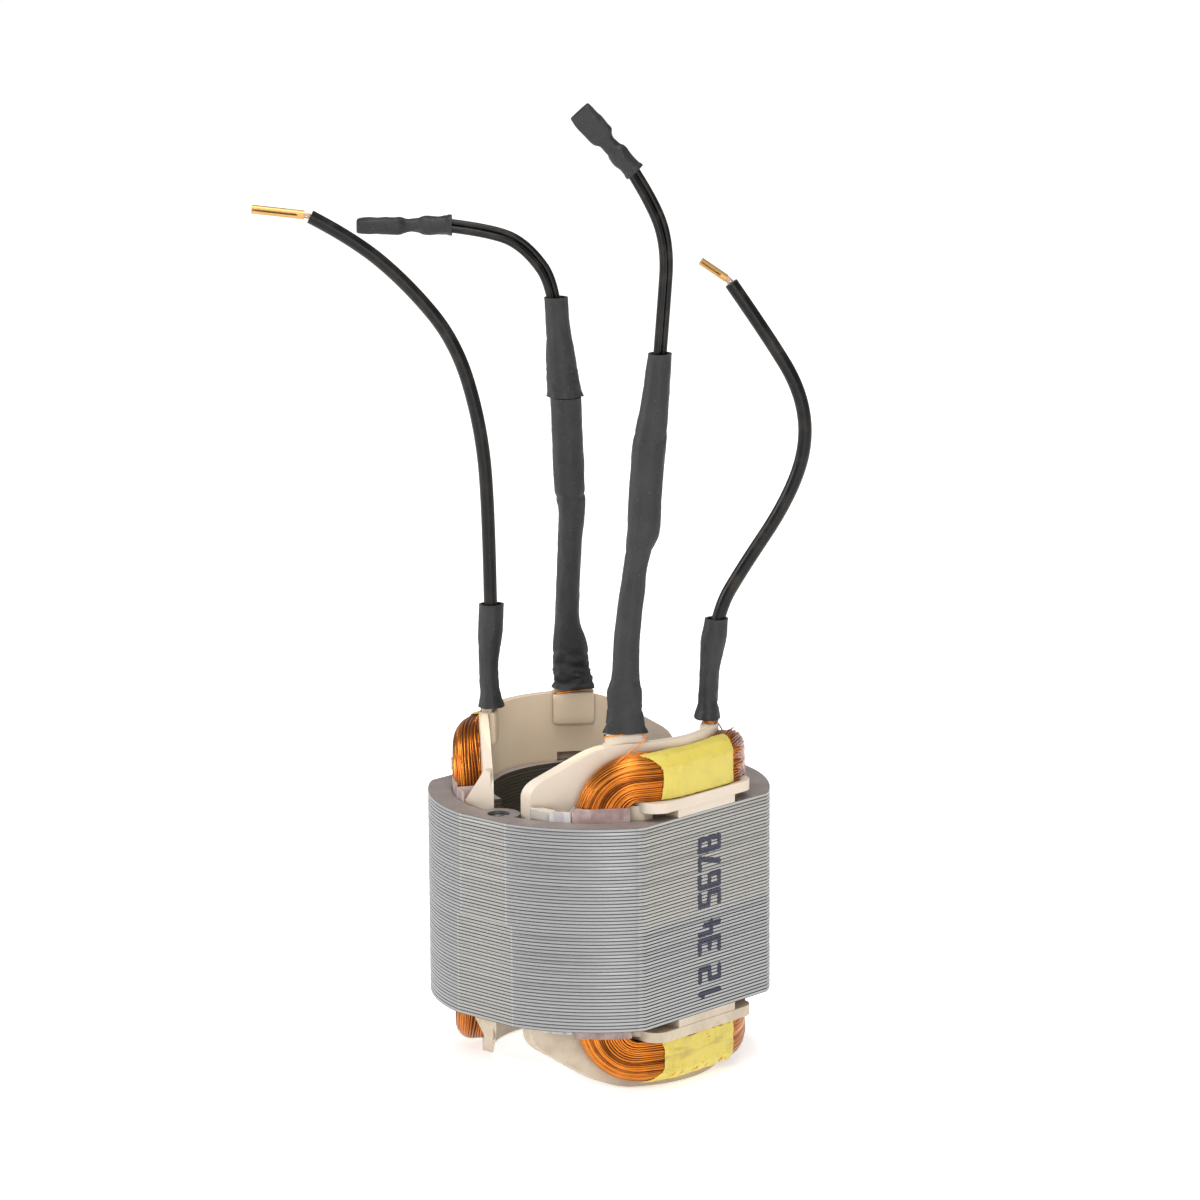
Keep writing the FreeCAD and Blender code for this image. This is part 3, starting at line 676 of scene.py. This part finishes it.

# %% [markdown]
# The end insulators are moulded in a cream engineering plastic, matt to satin. The bore side of the upper
# walls is painted a lighter, browner cream, painted light against the shade deep in the bore, and low down
# the plastic is darker: grime and painted shade.
# Ambient occlusion darkens the inner corners with painted shade. A rounded edge could be faked in the finish,
# but a bevel on a copy of the solid also gives it an outline.
# %% Cream plastic
plastic = Finish("cream_plastic", roughness=0.48, subsurface_weight=0.12, subsurface_scale=0.001)
cloud = plastic.noise(120, 4)
pale = plastic.mix(cloud, (0.57, 0.48, 0.385), (0.68, 0.59, 0.485))
# The bore side of the upper walls gets a lighter, browner cream: painted light filling the shade deep in the
# bore.
bore_side = (1 - plastic.from_axis().past(16.9, 17.3)) * plastic.axis("Z").past(40, 41)
bore_fill_light = plastic.mix(cloud, (0.74, 0.59, 0.42), (0.86, 0.715, 0.535))
# Ambient occlusion darkens the inner corners: painted shade.
corner = plastic.make("AmbientOcclusion", {"samples": 6}, {"Distance": 1.6 * MM}, out=1).between(0.25, 0.85)
# Low down the plastic is darker and browner: grime, and painted shade as well.
dirt_and_low_shade = plastic.mix(plastic.noise(400, 5).between(0.35, 0.7), (0.53, 0.44, 0.32), (0.38, 0.30, 0.20))
soiled_and_shaded = plastic.mix((1 - plastic.axis("Z").past(8, 14)) * 0.75, plastic.mix(bore_side, pale, bore_fill_light), dirt_and_low_shade)
plastic.colour(corner, (0.34, 0.25, 0.165), soiled_and_shaded)
plastic.put("Roughness", 0.42 + cloud * 0.16)
plastic.bump(plastic.noise(2400, 2), 0.08, 0.00008)

# %% Moulded edges
ROUNDING = 0.12 * MM


def moulding(place):
    """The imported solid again, welded, with the small rounding that a mould leaves on every edge."""
    bm = welded("insulator_" + place)
    bmesh.ops.dissolve_limit(bm, angle_limit=math.radians(0.6), verts=bm.verts, edges=bm.edges)
    piece = edited_piece("moulding_" + place, bm, 30, "insulator_" + place)
    bevel = piece.modifiers.new("rounding", "BEVEL")
    bevel.width, bevel.segments = ROUNDING, 2
    bevel.limit_method, bevel.angle_limit = "ANGLE", math.radians(45)
    even = piece.modifiers.new("even_shading", "WEIGHTED_NORMAL")
    even.keep_sharp = True
    return piece


for end, side in PLACES:
    wear(moulding("%s_%s" % (end, side)), plastic)
print("mouldings:", len(PLACES))

# %% [markdown]
# Below each lead post the bore side of the wall carries a raised pad with soft corners.
# The pad's face is lofted from rings of a rounded rectangle that shrink as they rise.
# %% Posts and rings
POSTS = {"c": (13.55, -9.15, -41.0, 6.2), "d": (14.56, 7.76, 33.5, 3.4)}
POST_OF = {"c": ("c", "right"), "b": ("c", "left"), "d": ("d", "right"), "a": ("d", "left")}
WALL_AT = 15.85


def post_frame(key):
    """A post's middle, the ways out and sideways from it, its width, and how far it is behind the wall."""
    x, y, deg, width = POSTS[key]
    middle, bearing = Vector((x, y, 0)), math.radians(deg)
    out = Vector((math.cos(bearing), math.sin(bearing), 0))
    return middle, out, Vector((-out.y, out.x, 0)), width, middle.dot(out) - WALL_AT


def soft_square(k, around, power):
    """Point k of a square with soft corners, 1 from its middle: power 1 makes it a circle."""
    c, s = math.cos(2 * math.pi * k / around), math.sin(2 * math.pi * k / around)
    return math.copysign(abs(c) ** power, c), math.copysign(abs(s) ** power, s)


def ring_faces(rings, around, capped=False):
    """Quads between rings of points, and a cap on the last ring."""
    faces = []
    for i in range(rings - 1):
        for k in range(around):
            m = (k + 1) % around
            faces.append((i * around + k, i * around + m, (i + 1) * around + m, (i + 1) * around + k))
    return faces + ([tuple(range((rings - 1) * around, rings * around))] if capped else [])


# %% Raised pads
PAD_Z, PAD_HIGH, PAD_PROUD, PAD_AROUND = 48.62, 4.85, 0.6, 96
PAD_RINGS = ((-0.05, -0.2), (0.0, 0.3), (0.05, 0.44), (0.15, 0.54),
             (0.32, PAD_PROUD), (1.3, PAD_PROUD + 0.02))


def pad_points(key):
    """Rings of one pad, from inside the wall to its face. Each has an inset and a height off the wall."""
    middle, out, sideways, width, behind = post_frame(key)
    foot = middle - out * (behind - 0.05)
    points = []
    for inset, proud in PAD_RINGS:
        for k in range(PAD_AROUND):
            u, v = soft_square(k, PAD_AROUND, 0.2)
            place = foot + sideways * u * (width / 2 - inset) - out * proud
            points.append((place + Vector((0, 0, PAD_Z + v * (PAD_HIGH / 2 - inset)))) * MM)
    return points


faces = [f[::-1] for f in ring_faces(len(PAD_RINGS), PAD_AROUND, True)]
for name, (key, side) in POST_OF.items():
    pad = mesh_piece("post_pad_" + name, turned(pad_points(key), side), faces, 70)
    wear(pad, plastic)
print("pads stand", PAD_PROUD, "mm proud")

# %% [markdown]
# Above the rim each wide post goes on as a plain neck into its sleeve, a little narrower than the pad.
# It is lofted from level rings in the same way, and its top is tapered so that it stays inside the sleeve.
# %% Post necks
NECK_RINGS, NECK_AROUND = ((50.8, 0.0), (52.0, 0.0), (52.3, 0.25), (52.6, 0.7)), 64


def neck_points(key):
    """Rings of a rounded oblong from the rim up into the sleeve."""
    middle, out, sideways, width, behind = post_frame(key)
    points = []
    for z, inset in NECK_RINGS:
        for k in range(NECK_AROUND):
            u, v = soft_square(k, NECK_AROUND, 0.3)
            outwards = u * ((behind + 0.92) / 2 - inset * 0.5) + (0.9 - behind) / 2
            place = middle + out * outwards + sideways * v * (width / 2 - 0.23 - inset)
            points.append((place + Vector((0, 0, z))) * MM)
    return points


faces = ring_faces(len(NECK_RINGS), NECK_AROUND, True)
for name in ("c", "b"):
    key, side = POST_OF[name]
    neck = mesh_piece("post_neck_" + name, turned(neck_points(key), side), faces, 50)
    wear(neck, plastic)
print("necks of", len(faces), "faces")

# %% [markdown]
# Slot films are thin polyester sheets: the wide one lines the slot and stands proud in front of the coil,
# pinkish where copper shines through, and the narrow one closes the slot and looks whitish.
# Cut film is never quite straight, so its free ends are split into small triangles and bent by noise.
# The vector noise is seeded first, because it would otherwise be another one on every run.
# %% Slot films
liner = Finish("slot_liner_film", roughness=0.3, alpha=0.80, ior=1.5)
liner.colour(liner.noise(700, 4).between(0.3, 0.7), (0.30, 0.195, 0.185), (0.43, 0.315, 0.295))
liner.bump(liner.noise(1800, 2), 0.3, 0.0001)
strip = Finish("slot_strip_film", roughness=0.3, alpha=0.72, ior=1.5)
whitish = strip.mix(strip.noise(200, 2), (0.50, 0.50, 0.52), (0.66, 0.60, 0.57))
strip.colour(strip.axis("X").past(-1, 1), (0.50, 0.385, 0.36), whitish)
strip.bump(strip.noise(1800, 2), 0.3, 0.0001)

# %% Wavy film edges
noise.seed_set(5)
WAVE, SAG, EDGE_FROM, EDGE_OVER = 0.16 * MM, 0.25 * MM, 15.2 * MM, 1.9 * MM


def film_sheet(place):
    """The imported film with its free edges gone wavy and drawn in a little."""
    bm = welded("slot_" + place)
    for _ in range(4):
        long = [e for e in bm.edges if e.calc_length() > 0.7 * MM]
        bmesh.ops.subdivide_edges(bm, edges=long, cuts=1)
        bmesh.ops.triangulate(bm, faces=bm.faces)
    for vert in bm.verts:
        past = min(1, max(0.0, abs(vert.co.z - MIDDLE) - EDGE_FROM) / EDGE_OVER)
        wave = noise.noise_vector(vert.co * 420) * WAVE * past
        sag = noise.noise(vert.co * 260) * SAG * past
        vert.co += Vector((wave.x, wave.y, -abs(sag) * math.copysign(1, vert.co.z - MIDDLE)))
    return edited_piece("film_" + place, bm, 40, "slot_" + place)


for side in SIDES:
    for depth in ("front", "back"):
        wear(film_sheet("liner_%s_%s" % (side, depth)), liner)
        wear(film_sheet("strip_%s_%s" % (side, depth)), strip)

# %% [markdown]
# At the foot of the right-hand wall a loose flap of film stands out of the slot and hides the wall's foot.
# It could be a part of the liner, but it has a bend and a colour of its own, so it is a strip of points
# along a bent line, with waves that grow towards its free edge. The other three are turned or mirrored.
# %% Film flap
FLAP = [(4.9, -19.66), (6.2, -19.72), (7.4, -19.70), (8.4, -19.66), (9.3, -19.27), (10.3, -18.76),
        (11.3, -18.17)]
FLAP_LOW, FLAP_HIGH = 40.2, 42.03
flap_film = Finish("film_flap", roughness=0.3, alpha=0.88, ior=1.5)
shaded = flap_film.axis("X").size().past(7.5, 8.6) * (1 - flap_film.axis("Z").past(41.25, 41.6))
milky = flap_film.mix(flap_film.noise(300, 3), (0.50, 0.45, 0.39), (0.60, 0.545, 0.48))
flap_film.colour(shaded * 0.85, milky, (0.30, 0.305, 0.315))
flap_film.bump(flap_film.noise(1800, 2), 0.3, 0.0001)


def film_flap(end, side):
    """A thin bent film, wavy along its free edge."""
    up, points, faces = 6, [], []
    for i in range(8 * (len(FLAP) - 1) + 1):
        span, f = divmod(i / 8, 1)
        a, b = FLAP[int(span)], FLAP[min(len(FLAP) - 1, int(span) + 1)]
        x, y = a[0] + (b[0] - a[0]) * f, a[1] + (b[1] - a[1]) * f
        for j in range(up + 1):
            rise = j / up
            wave = noise.noise(Vector((i * 0.11, rise * 0.8, 3.3))) * 0.10 * rise
            top = FLAP_HIGH + noise.noise(Vector((i * 0.16, 0, 7.1))) * 0.1
            place = Vector((x + wave * 0.4, y - wave, FLAP_LOW + (top - FLAP_LOW) * rise)) * MM
            points.append(place)
    rows = up + 1
    for i in range(len(points) // rows - 1):
        for j in range(up):
            faces.append((i * rows + j, (i + 1) * rows + j, (i + 1) * rows + j + 1, i * rows + j + 1))
    faces = [f[::-1] for f in faces] if end == "bottom" else faces
    flap = mesh_piece("film_flap_%s_%s" % (end, side), turned(points, side, end), faces, 60)
    thicken(flap, 0.08, 0)
    return wear(flap, flap_film)


flaps = [film_flap(end, side) for side in SIDES for end in ("top", "bottom")]
print("flap faces:", [len(flap.data.polygons) for flap in flaps])

# %% [markdown]
# Shrink sleeves take the form of what they grip, with slack folds where it changes size.
# Each is lofted through oval stations read off the photograph, and a smooth curve joins the stations.
# %% Sleeve stations
CREASES = {"sleeve_a": [54.2, 60.4], "sleeve_d": [53.9, 59.7, 62.0], "sleeve_b": [53.4, 55.0, 56.9, 80.6],
           "sleeve_b_upper": [99.6, 104.0], "sleeve_c": [55.9, 58.9, 78.9, 95.6]}
SLEEVES = {
    "sleeve_a": (4.0, [(-15.66, 51.7, 1.88, 1.95), (-15.68, 52.2, 1.9, 1.95), (-15.76, 53.5, 1.62, 1.8),
                       (-15.98, 55.5, 1.5, 1.6), (-16.0, 58.3, 1.5, 1.5), (-15.81, 60.9, 1.7, 1.6),
                       (-15.66, 63.0, 1.86, 1.75), (-15.51, 67.0, 1.83, 1.75)]),
    "sleeve_d": (-4.0, [(15.74, 51.7, 1.86, 2.0), (15.76, 52.2, 1.88, 2.05), (15.84, 53.2, 1.66, 1.85),
                        (15.88, 54.3, 1.5, 1.6), (16.11, 58.4, 1.5, 1.5), (16.4, 60.9, 1.7, 1.6),
                        (16.76, 63.6, 1.93, 1.8), (17.14, 66.4, 1.72, 1.7)]),
    "sleeve_b": (15.8, [(-3.73, 51.7, 3.24, 1.55), (-3.76, 52.6, 3.2, 1.55), (-4.0, 54.7, 2.95, 1.5),
                        (-4.2, 58.9, 2.5, 1.5), (-4.5, 61.4, 1.95, 1.6), (-4.4, 67.1, 1.82, 1.7),
                        (-4.1, 73.0, 1.85, 1.75), (-3.75, 78.6, 2.05, 1.9), (-4.05, 82.0, 2.34, 2.0),
                        (-4.3, 89.1, 2.34, 2.0), (-4.5, 95.4, 2.3, 2.0)]),
    "sleeve_b_upper": (15.8, [(-4.62, 95.6, 2.69, 2.3), (-5.15, 101.0, 2.26, 2.1),
                              (-5.55, 105.9, 1.84, 1.85), (-5.8, 110.3, 1.75, 1.75)]),
    "sleeve_c": (-15.8, [(3.83, 52.45, 3.3, 1.6), (3.84, 53.6, 2.95, 1.55), (3.79, 56.3, 2.64, 1.5),
                         (3.74, 58.8, 2.5, 1.5), (3.88, 60.3, 2.08, 1.55), (4.1, 65.5, 1.92, 1.6),
                         (4.83, 72.3, 1.84, 1.65), (5.65, 77.8, 1.8, 1.75), (6.49, 81.4, 2.36, 2.0),
                         (6.9, 87.8, 2.38, 2.0), (7.5, 94.5, 2.42, 2.0), (8.3, 100.5, 2.0, 1.9),
                         (8.97, 107.1, 1.72, 1.8)]),
}


def smooth_rows(rows, step):
    """Stations every step of height, on a smooth curve through the given ones."""
    made = []
    for i in range(len(rows) - 1):
        a, b = rows[i], rows[i + 1]
        before, after = rows[max(0, i - 1)], rows[min(len(rows) - 1, i + 2)]
        parts = max(1, round((b[1] - a[1]) / step))
        for k in range(parts):
            f = k / parts
            row = []
            for m in range(4):
                slope_a = (b[m] - before[m]) / max(1e-6, b[1] - before[1]) * (b[1] - a[1])
                slope_b = (after[m] - a[m]) / max(1e-6, after[1] - a[1]) * (b[1] - a[1])
                row.append(a[m] * (2 * f**3 - 3 * f**2 + 1) + slope_a * (f**3 - 2 * f**2 + f)
                           + b[m] * (3 * f**2 - 2 * f**3) + slope_b * (f**3 - f**2))
            made.append(row)
    return made + [list(rows[-1])]


# %% Shrunk sleeves
SLACK, TIGHT = {"sleeve_b": 0.85, "sleeve_c": 0.5}, 0.22
SLEEVE_AROUND, SLEEVE_WALL = 56, 0.4


def hump(distance, width):
    """1 at a place, falling off smoothly on both sides."""
    return math.exp(-(distance / width) ** 2)


def inside(row, wall, up=0.0):
    """A station moved in by a wall, and up."""
    return [row[0], row[1] + up, row[2] - wall, row[3] - wall]


def shrink_tube(node, depth, rows, seed):
    """Hollow sleeve with a rolled lip at each end and shallow folds on its skin."""
    slack = SLACK.get(node, TIGHT)
    stations = smooth_rows(rows, 0.35)
    bottom, top = stations[0], stations[-1]
    profile = [inside(bottom, SLEEVE_WALL, 0.6), inside(bottom, SLEEVE_WALL)] + stations + [inside(top, 0.12)]
    profile += [inside(row, SLEEVE_WALL) for row in stations[::-1][:14]]
    points = []
    for s, z, half_s, half_d in profile:
        for k in range(SLEEVE_AROUND):
            a = 2 * math.pi * k / SLEEVE_AROUND
            fold = round_noise(a, 2.2, z * 0.35 + seed) * 0.10 + round_noise(a, 6, z * 1.1 + seed) * 0.035
            fold -= abs(round_noise(a, 1.1, z * 0.9 + seed * 3)) * slack * hump(z - bottom[1] - 2.2, 2.4)
            for height in CREASES[node]:
                fold -= 0.2 * slack * hump(z - height - round_noise(a, 0.9, height) * 1.6, 0.36)
            lip = hump(z - bottom[1], 0.35)
            fold += 0.14 * lip + 0.04 * hump(z - top[1], 0.3) - 0.05
            hem = round_noise(a, 1.3, seed + 5) * 0.22 * lip
            across, deep = (half_s + fold) * math.cos(a), (half_d + fold) * math.sin(a)
            points.append(at(s + across, depth + deep, z + hem))
    return mesh_piece("shrink_" + node, points, ring_faces(len(profile), SLEEVE_AROUND), 50, node)


shrunk = {}
for seed, (node, (depth, rows)) in enumerate(SLEEVES.items()):
    shrunk[node] = shrink_tube(node, depth, rows, seed * 7.7)
print("sleeves:", sorted(shrunk))

# %% [markdown]
# The two terminals wear a short sleeve shrunk over a round crimp, a narrow neck and a flat mouth.
# Its sections go from round to nearly square along the terminal, and it is open at both ends.
# %% Terminal sleeves
SECTIONS = [(1.52, 0.0, 1.52, 2.0), (1.50, 0.4, 1.50, 2.0), (1.38, 0.75, 1.38, 2.0), (1.44, 3.3, 1.40, 2.0),
            (1.42, 4.0, 1.30, 2.1), (1.22, 4.4, 1.08, 2.2), (1.12, 5.3, 0.98, 2.4), (1.22, 6.1, 1.0, 2.6),
            (1.70, 6.8, 1.22, 3.2), (1.80, 7.5, 1.22, 4.0), (1.76, 9.5, 1.14, 4.5), (1.74, 11.1, 1.12, 4.0),
            (1.70, 11.5, 1.07, 3.8), (1.61, 11.68, 1.0, 3.6), (1.50, 11.75, 0.9, 3.4)]
CRIMP_HOLE = [(1.27, 3.0, 1.27, 2.0), (1.3, 0.02, 1.3, 2.0)]
MOUTH_HOLE = [(1.42, 11.73, 0.82, 4.0), (1.42, 8.0, 0.8, 4.0)]
NECK_AT, JACKET_AROUND = 6.1, 48


def terminal_jacket(letter, start, axis, wide, stretch, seed):
    """A hollow sleeve through soft square sections along a terminal's axis, its mouth drawn out."""
    thick = axis.cross(wide).normalized()
    rows = [(row, 0) for row in CRIMP_HOLE] + [(row, 1) for row in smooth_rows(SECTIONS, 0.22)]
    rows += [(row, 0) for row in MOUTH_HOLE]
    points = []
    for (half_wide, along, half_thick, power), skin in rows:
        for k in range(JACKET_AROUND):
            u, v = soft_square(k, JACKET_AROUND, 2 / power)
            fold = round_noise(2 * math.pi * k / JACKET_AROUND, 1.6, along * 0.9 + seed) * 0.14 * skin
            reach = along * stretch[0] + max(0, along - NECK_AT) * stretch[1]
            offset = wide * u * (half_wide + fold) + thick * v * (half_thick + fold)
            points.append(start + (axis * reach + offset) * MM)
    faces = ring_faces(len(rows), JACKET_AROUND, True) + [tuple(range(JACKET_AROUND))]
    piece = mesh_piece("shrink_terminal_" + letter, points, faces, 55, "terminal_sleeve_" + letter)
    bm = bmesh.new()
    bm.from_mesh(piece.data)
    bmesh.ops.recalc_face_normals(bm, faces=bm.faces)
    bm.to_mesh(piece.data)
    bm.free()
    return piece


axis_c = (ALONG * -0.672 + Vector((0, 0, 0.7405))).normalized()
shrunk["jacket_b"] = terminal_jacket("b", at(-20.9, 15.8, 120.98), -ALONG, ACROSS, (1.09, 0.19), 2.2)
shrunk["jacket_c"] = terminal_jacket("c", at(5.6, -15.8, 132.7), axis_c, axis_c.cross(ACROSS).normalized(),
                                     (0.985, 0.0), 6.4)
print("terminal sleeves:", [len(shrunk[key].data.polygons) for key in ("jacket_b", "jacket_c")])

# %% [markdown]
# The sleeve material is charcoal grey, matt and a little dusty, with a few pale specks.
# One finish for all sleeves keeps them alike, and its noise differs from place to place anyway.
# %% Charcoal sleeve
charcoal = Finish("charcoal_sleeve", roughness=0.55)
dust = charcoal.noise(240, 5)
grey = charcoal.mix(dust.between(0.35, 0.75), (0.0065, 0.0067, 0.0073), (0.0172, 0.0172, 0.018))
speck = charcoal.noise(3200, 2).between(0.68, 0.73)
charcoal.colour(speck * 0.25, grey, (0.16, 0.155, 0.15))
charcoal.put("Roughness", 0.47 + dust * 0.2)
charcoal.bump(charcoal.noise(1900, 4), 0.4, 0.00015)
for piece in shrunk.values():
    wear(piece, charcoal)

# %% [markdown]
# The pins and terminals are rolled brass. Punching leaves it bright with a faint grain along its length.
# %% Brass
brass = Finish("rolled_brass", metallic=0.9, roughness=0.45)
tarnish = brass.noise(500, 4)
brass.colour(tarnish, (0.46, 0.26, 0.085), (0.68, 0.43, 0.17))
brass.put("Roughness", 0.38 + tarnish * 0.2)
brass.bump(brass.noise(2200, 2, (1, 1, 3)), 0.2, 0.00005)
for kind, letters in (("pin", "ad"), ("terminal", "bc")):
    for letter in letters:
        wear(nodes["%s_%s" % (kind, letter)], brass)

# %% [markdown]
# Between the insulation and each pin a few bare strands of the lead can be seen, a little splayed.
# %% Bare strands
tinned = Finish("tinned_strands", metallic=1.0, roughness=0.32)
tinned.colour(tinned.noise(900, 3), (0.42, 0.27, 0.20), (0.78, 0.66, 0.58))
STRANDS, SPLAY = 7, 0.42
BARE = {"a": (4.0, (-40.5, 123.8), (-42.0, 124.33)), "d": (-4.0, (19.7, 114.9), (18.4, 116.05))}
for name, (depth, (s0, z0), (s1, z1)) in BARE.items():
    for k in range(STRANDS):
        a = 2 * math.pi * k / STRANDS
        c, d = SPLAY * math.cos(a), SPLAY * math.sin(a)
        ends = [at(s0 + 0.3 * c, depth + 0.3 * d, z0 + 0.3 * c),
                at((s0 + s1) / 2 + 0.9 * c, depth + d, (z0 + z1) / 2 + c),
                at(s1 + 0.6 * c, depth + 0.7 * d, z1 + 0.6 * c)]
        strand = spline_piece("strand_%s_%d" % (name, k), ends, 0.09 * MM)
        strand.data.resolution_u, strand.data.bevel_resolution = 4, 1
        wear(strand, tinned)
        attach(strand, "root")

# %% [markdown]
# At each post the coil's wire end is wrapped a few times round the root and then dives to the coil.
# A wrap is a spring-like run round the neck's four corners, drawn with a smooth spline.
# %% Wrapped wire ends
TAILS = {"c": [(16.2, -7.75, 51.62), (16.54, -7.83, 51.5), (15.9, -10.3, 50.4), (15.6, -13.15, 48.9)],
         "d": [(14.65, 9.44, 51.5), (15.1, 8.9, 51.05), (15.3, 9.5, 50.2), (15.5, 9.84, 49.4)]}


def wrap_points(key, base, lean, reach):
    """Turns round a post's neck and the tail, in metres. The wide post shows one turn only."""
    middle, out, sideways, width, behind = post_frame(key)
    front, back, half = behind + 0.16 + reach, 1.07, width / 2 - 0.08
    corners = ((back, half - 0.5), (back - 0.4, half), (0.4 - front, half), (-front, half - 0.4),
               (-front, 0.4 - half), (0.4 - front, -half), (back - 0.4, -half), (back, 0.5 - half))
    points = []
    for turn in range(2):
        for step, (u, v) in enumerate(corners):
            z = base + turn * 0.2 + step * 0.024 + lean * v / half
            points.append(middle + out * u + sideways * v + Vector((0, 0, z)))
    kept = points[:len(corners) + 1] if key == "c" else points
    return [Vector(p) * MM for p in kept + TAILS[key]]


WRAPS = {"c": (52.25, 0.35, 0.0), "b": (51.22, -0.34, 0.42), "d": (51.52, 0.34, 0.0), "a": (51.52, 0.34, 0.0)}
for name, lie in WRAPS.items():
    key, side = POST_OF[name]
    wrap = spline_piece("wire_wrap_" + name, turned(wrap_points(key, *lie), side), 0.1 * MM)
    wear(wrap, copper)
    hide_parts("tail_wrap_" + name)
    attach(wrap, "root")
print("wraps:", ", ".join(WRAPS))

# %% [markdown]
# The row of plain numbers on the flat is an ink-jet print over the sheet edges, read from the bottom up.
# The ink sits on the ridges and misses the grooves, so the finish fades out between two sheets.
# %% Printed numbers
STROKES = {"1": [[(1, 5), (2, 6), (2, 0)]], "2": [[(0, 6), (4, 6), (4, 3), (0, 3), (0, 0), (4, 0)]],
           "3": [[(0, 6), (4, 6), (4, 0), (0, 0)], [(1, 3), (4, 3)]],
           "4": [[(0, 6), (0, 2.5), (4, 2.5)], [(3, 4.5), (3, 0)]],
           "5": [[(4, 6), (0, 6), (0, 3.3), (4, 3), (4, 0), (0, 0)]],
           "6": [[(4, 6), (0, 6), (0, 0), (4, 0), (4, 3), (0, 3)]],
           "7": [[(0, 6), (4, 6), (1.5, 0)]],
           "8": [[(0, 0), (4, 0), (4, 6), (0, 6), (0, 0)], [(0, 3), (4, 3)]]}
PRINT_TALL, PRINT_WIDE, STROKE = 4.2 * MM, 1.7 * MM, 0.40 * MM
PRINT_FROM, LETTER_GAP, WORD_GAP = 12.0 * MM, 1.03 * MM, 1.5 * MM
INK_X, INK_Y = 21.074 * MM, 2.7 * MM
PER_SHEET = 5
CELL = SHEET / PER_SHEET
SQUARE = ((0, 0), (CELL, 0), (CELL, CELL), (0, CELL))


def near_stroke(x, y, digit):
    """Whether a point of the digit's 4 by 6 grid is inside a stroke."""
    best = 1e9
    for line in STROKES[digit]:
        for a, b in zip(line, line[1:]):
            ax, ay, bx, by = (v * k for v, k in zip((*a, *b), (PRINT_WIDE / 4, PRINT_TALL / 6) * 2))
            run = (bx - ax) ** 2 + (by - ay) ** 2
            f = min(1, max(0, ((x - ax) * (bx - ax) + (y - ay) * (by - ay)) / run))
            best = min(best, math.hypot(x - ax - f * (bx - ax), y - ay - f * (by - ay)))
    return best < STROKE


points, faces = [], []
cursor = PRINT_FROM
for letter in "12 34 5678":
    if letter == " ":
        cursor += WORD_GAP
        continue
    first_row = math.floor(cursor / CELL + 0.5)
    for row in range(first_row, first_row + int((PRINT_WIDE + 2 * STROKE) / CELL) + 1):
        z = row * CELL
        if row % PER_SHEET == 0:
            continue
        for column in range(int((PRINT_TALL + 2 * STROKE) / CELL) + 1):
            across = column * CELL - STROKE
            wobble = noise.noise(Vector((across * 2500, z * 2500, 2))) * 0.08 * MM
            if near_stroke(z - cursor - STROKE + wobble, across + wobble, letter):
                y, k = INK_Y - across, len(points)
                points += [(INK_X, y - over, z + up) for over, up in SQUARE]
                faces.append((k, k + 3, k + 2, k + 1))
    cursor += PRINT_WIDE + LETTER_GAP
numbers = mesh_piece("printed_numbers_ink", points, faces)
print("print cells:", len(faces), "up to", round(cursor / MM, 1), "mm")

# %% Navy ink
ink = Finish("navy_ink", roughness=0.5)
ink.colour(ink.noise(800, 3), (0.010, 0.012, 0.032), (0.028, 0.032, 0.065))
ink.put("Alpha", 0.80 + ink.noise(900, 4).between(0.30, 0.50) * 0.18)
wear(numbers, ink)

# %% [markdown]
# The set is a plain pale floor that glows a little, so that it stays white round the part.
# Four soft lamps stand round it: a tall one at the right, one in front, one at the left and
# a large one above. A pale world between them gives metal something bright to reflect.
# %% Floor
REACH = 6
floor_mesh = bpy.data.meshes.new("floor")
corners = [(-REACH, -REACH, 0), (REACH, -REACH, 0), (REACH, REACH, 0), (-REACH, REACH, 0)]
floor_mesh.from_pydata(corners, [], [(0, 1, 2, 3)])
floor = bpy.data.objects.new("floor", floor_mesh)
scene.collection.objects.link(floor)
floor.location.z = -0.0002
paper = Finish("pale_floor", roughness=0.9, emission_color=(1, 1, 1), emission_strength=0.52)
paper.put("Base Color", (0.90, 0.90, 0.90))
floor.data.materials.append(paper.material)

# %% Lights
AIM = Vector((0, 0, 0.05))
LAMPS = {"key": ((0.88, -0.62, 0.26), 0.22, 0.46, 2.4), "front": ((0.62, -0.72, 0.72), 0.35, 0.3, 2.4),
         "left": ((-0.70, -0.85, 0.42), 0.3, 0.3, 5.2), "above": ((0.15, -0.15, 1.3), 0.6, 0.6, 10.6)}
for name, (place, wide, tall, power) in LAMPS.items():
    lamp = bpy.data.lights.new(name, "AREA")
    lamp.shape, lamp.size, lamp.size_y, lamp.energy = "RECTANGLE", wide, tall, power
    holder = bpy.data.objects.new(name, lamp)
    scene.collection.objects.link(holder)
    holder.location = place
    holder.rotation_euler = (AIM - Vector(place)).to_track_quat("-Z", "Y").to_euler()
print("lamps:", ", ".join(LAMPS))

# %% World
world = bpy.data.worlds.new("studio")
world.use_nodes = True
background = world.node_tree.nodes["Background"]
background.inputs["Color"].default_value = (1.0, 1.0, 1.0, 1.0)
background.inputs["Strength"].default_value = 0.43
scene.world = world
scene.view_settings.view_transform = "Standard"

for key, (lead, points, radius, length, ends) in lead_cords.items():
    length * MM
    2 * radius * MM
    "connector" if key[0] in "bc" else "fitting"
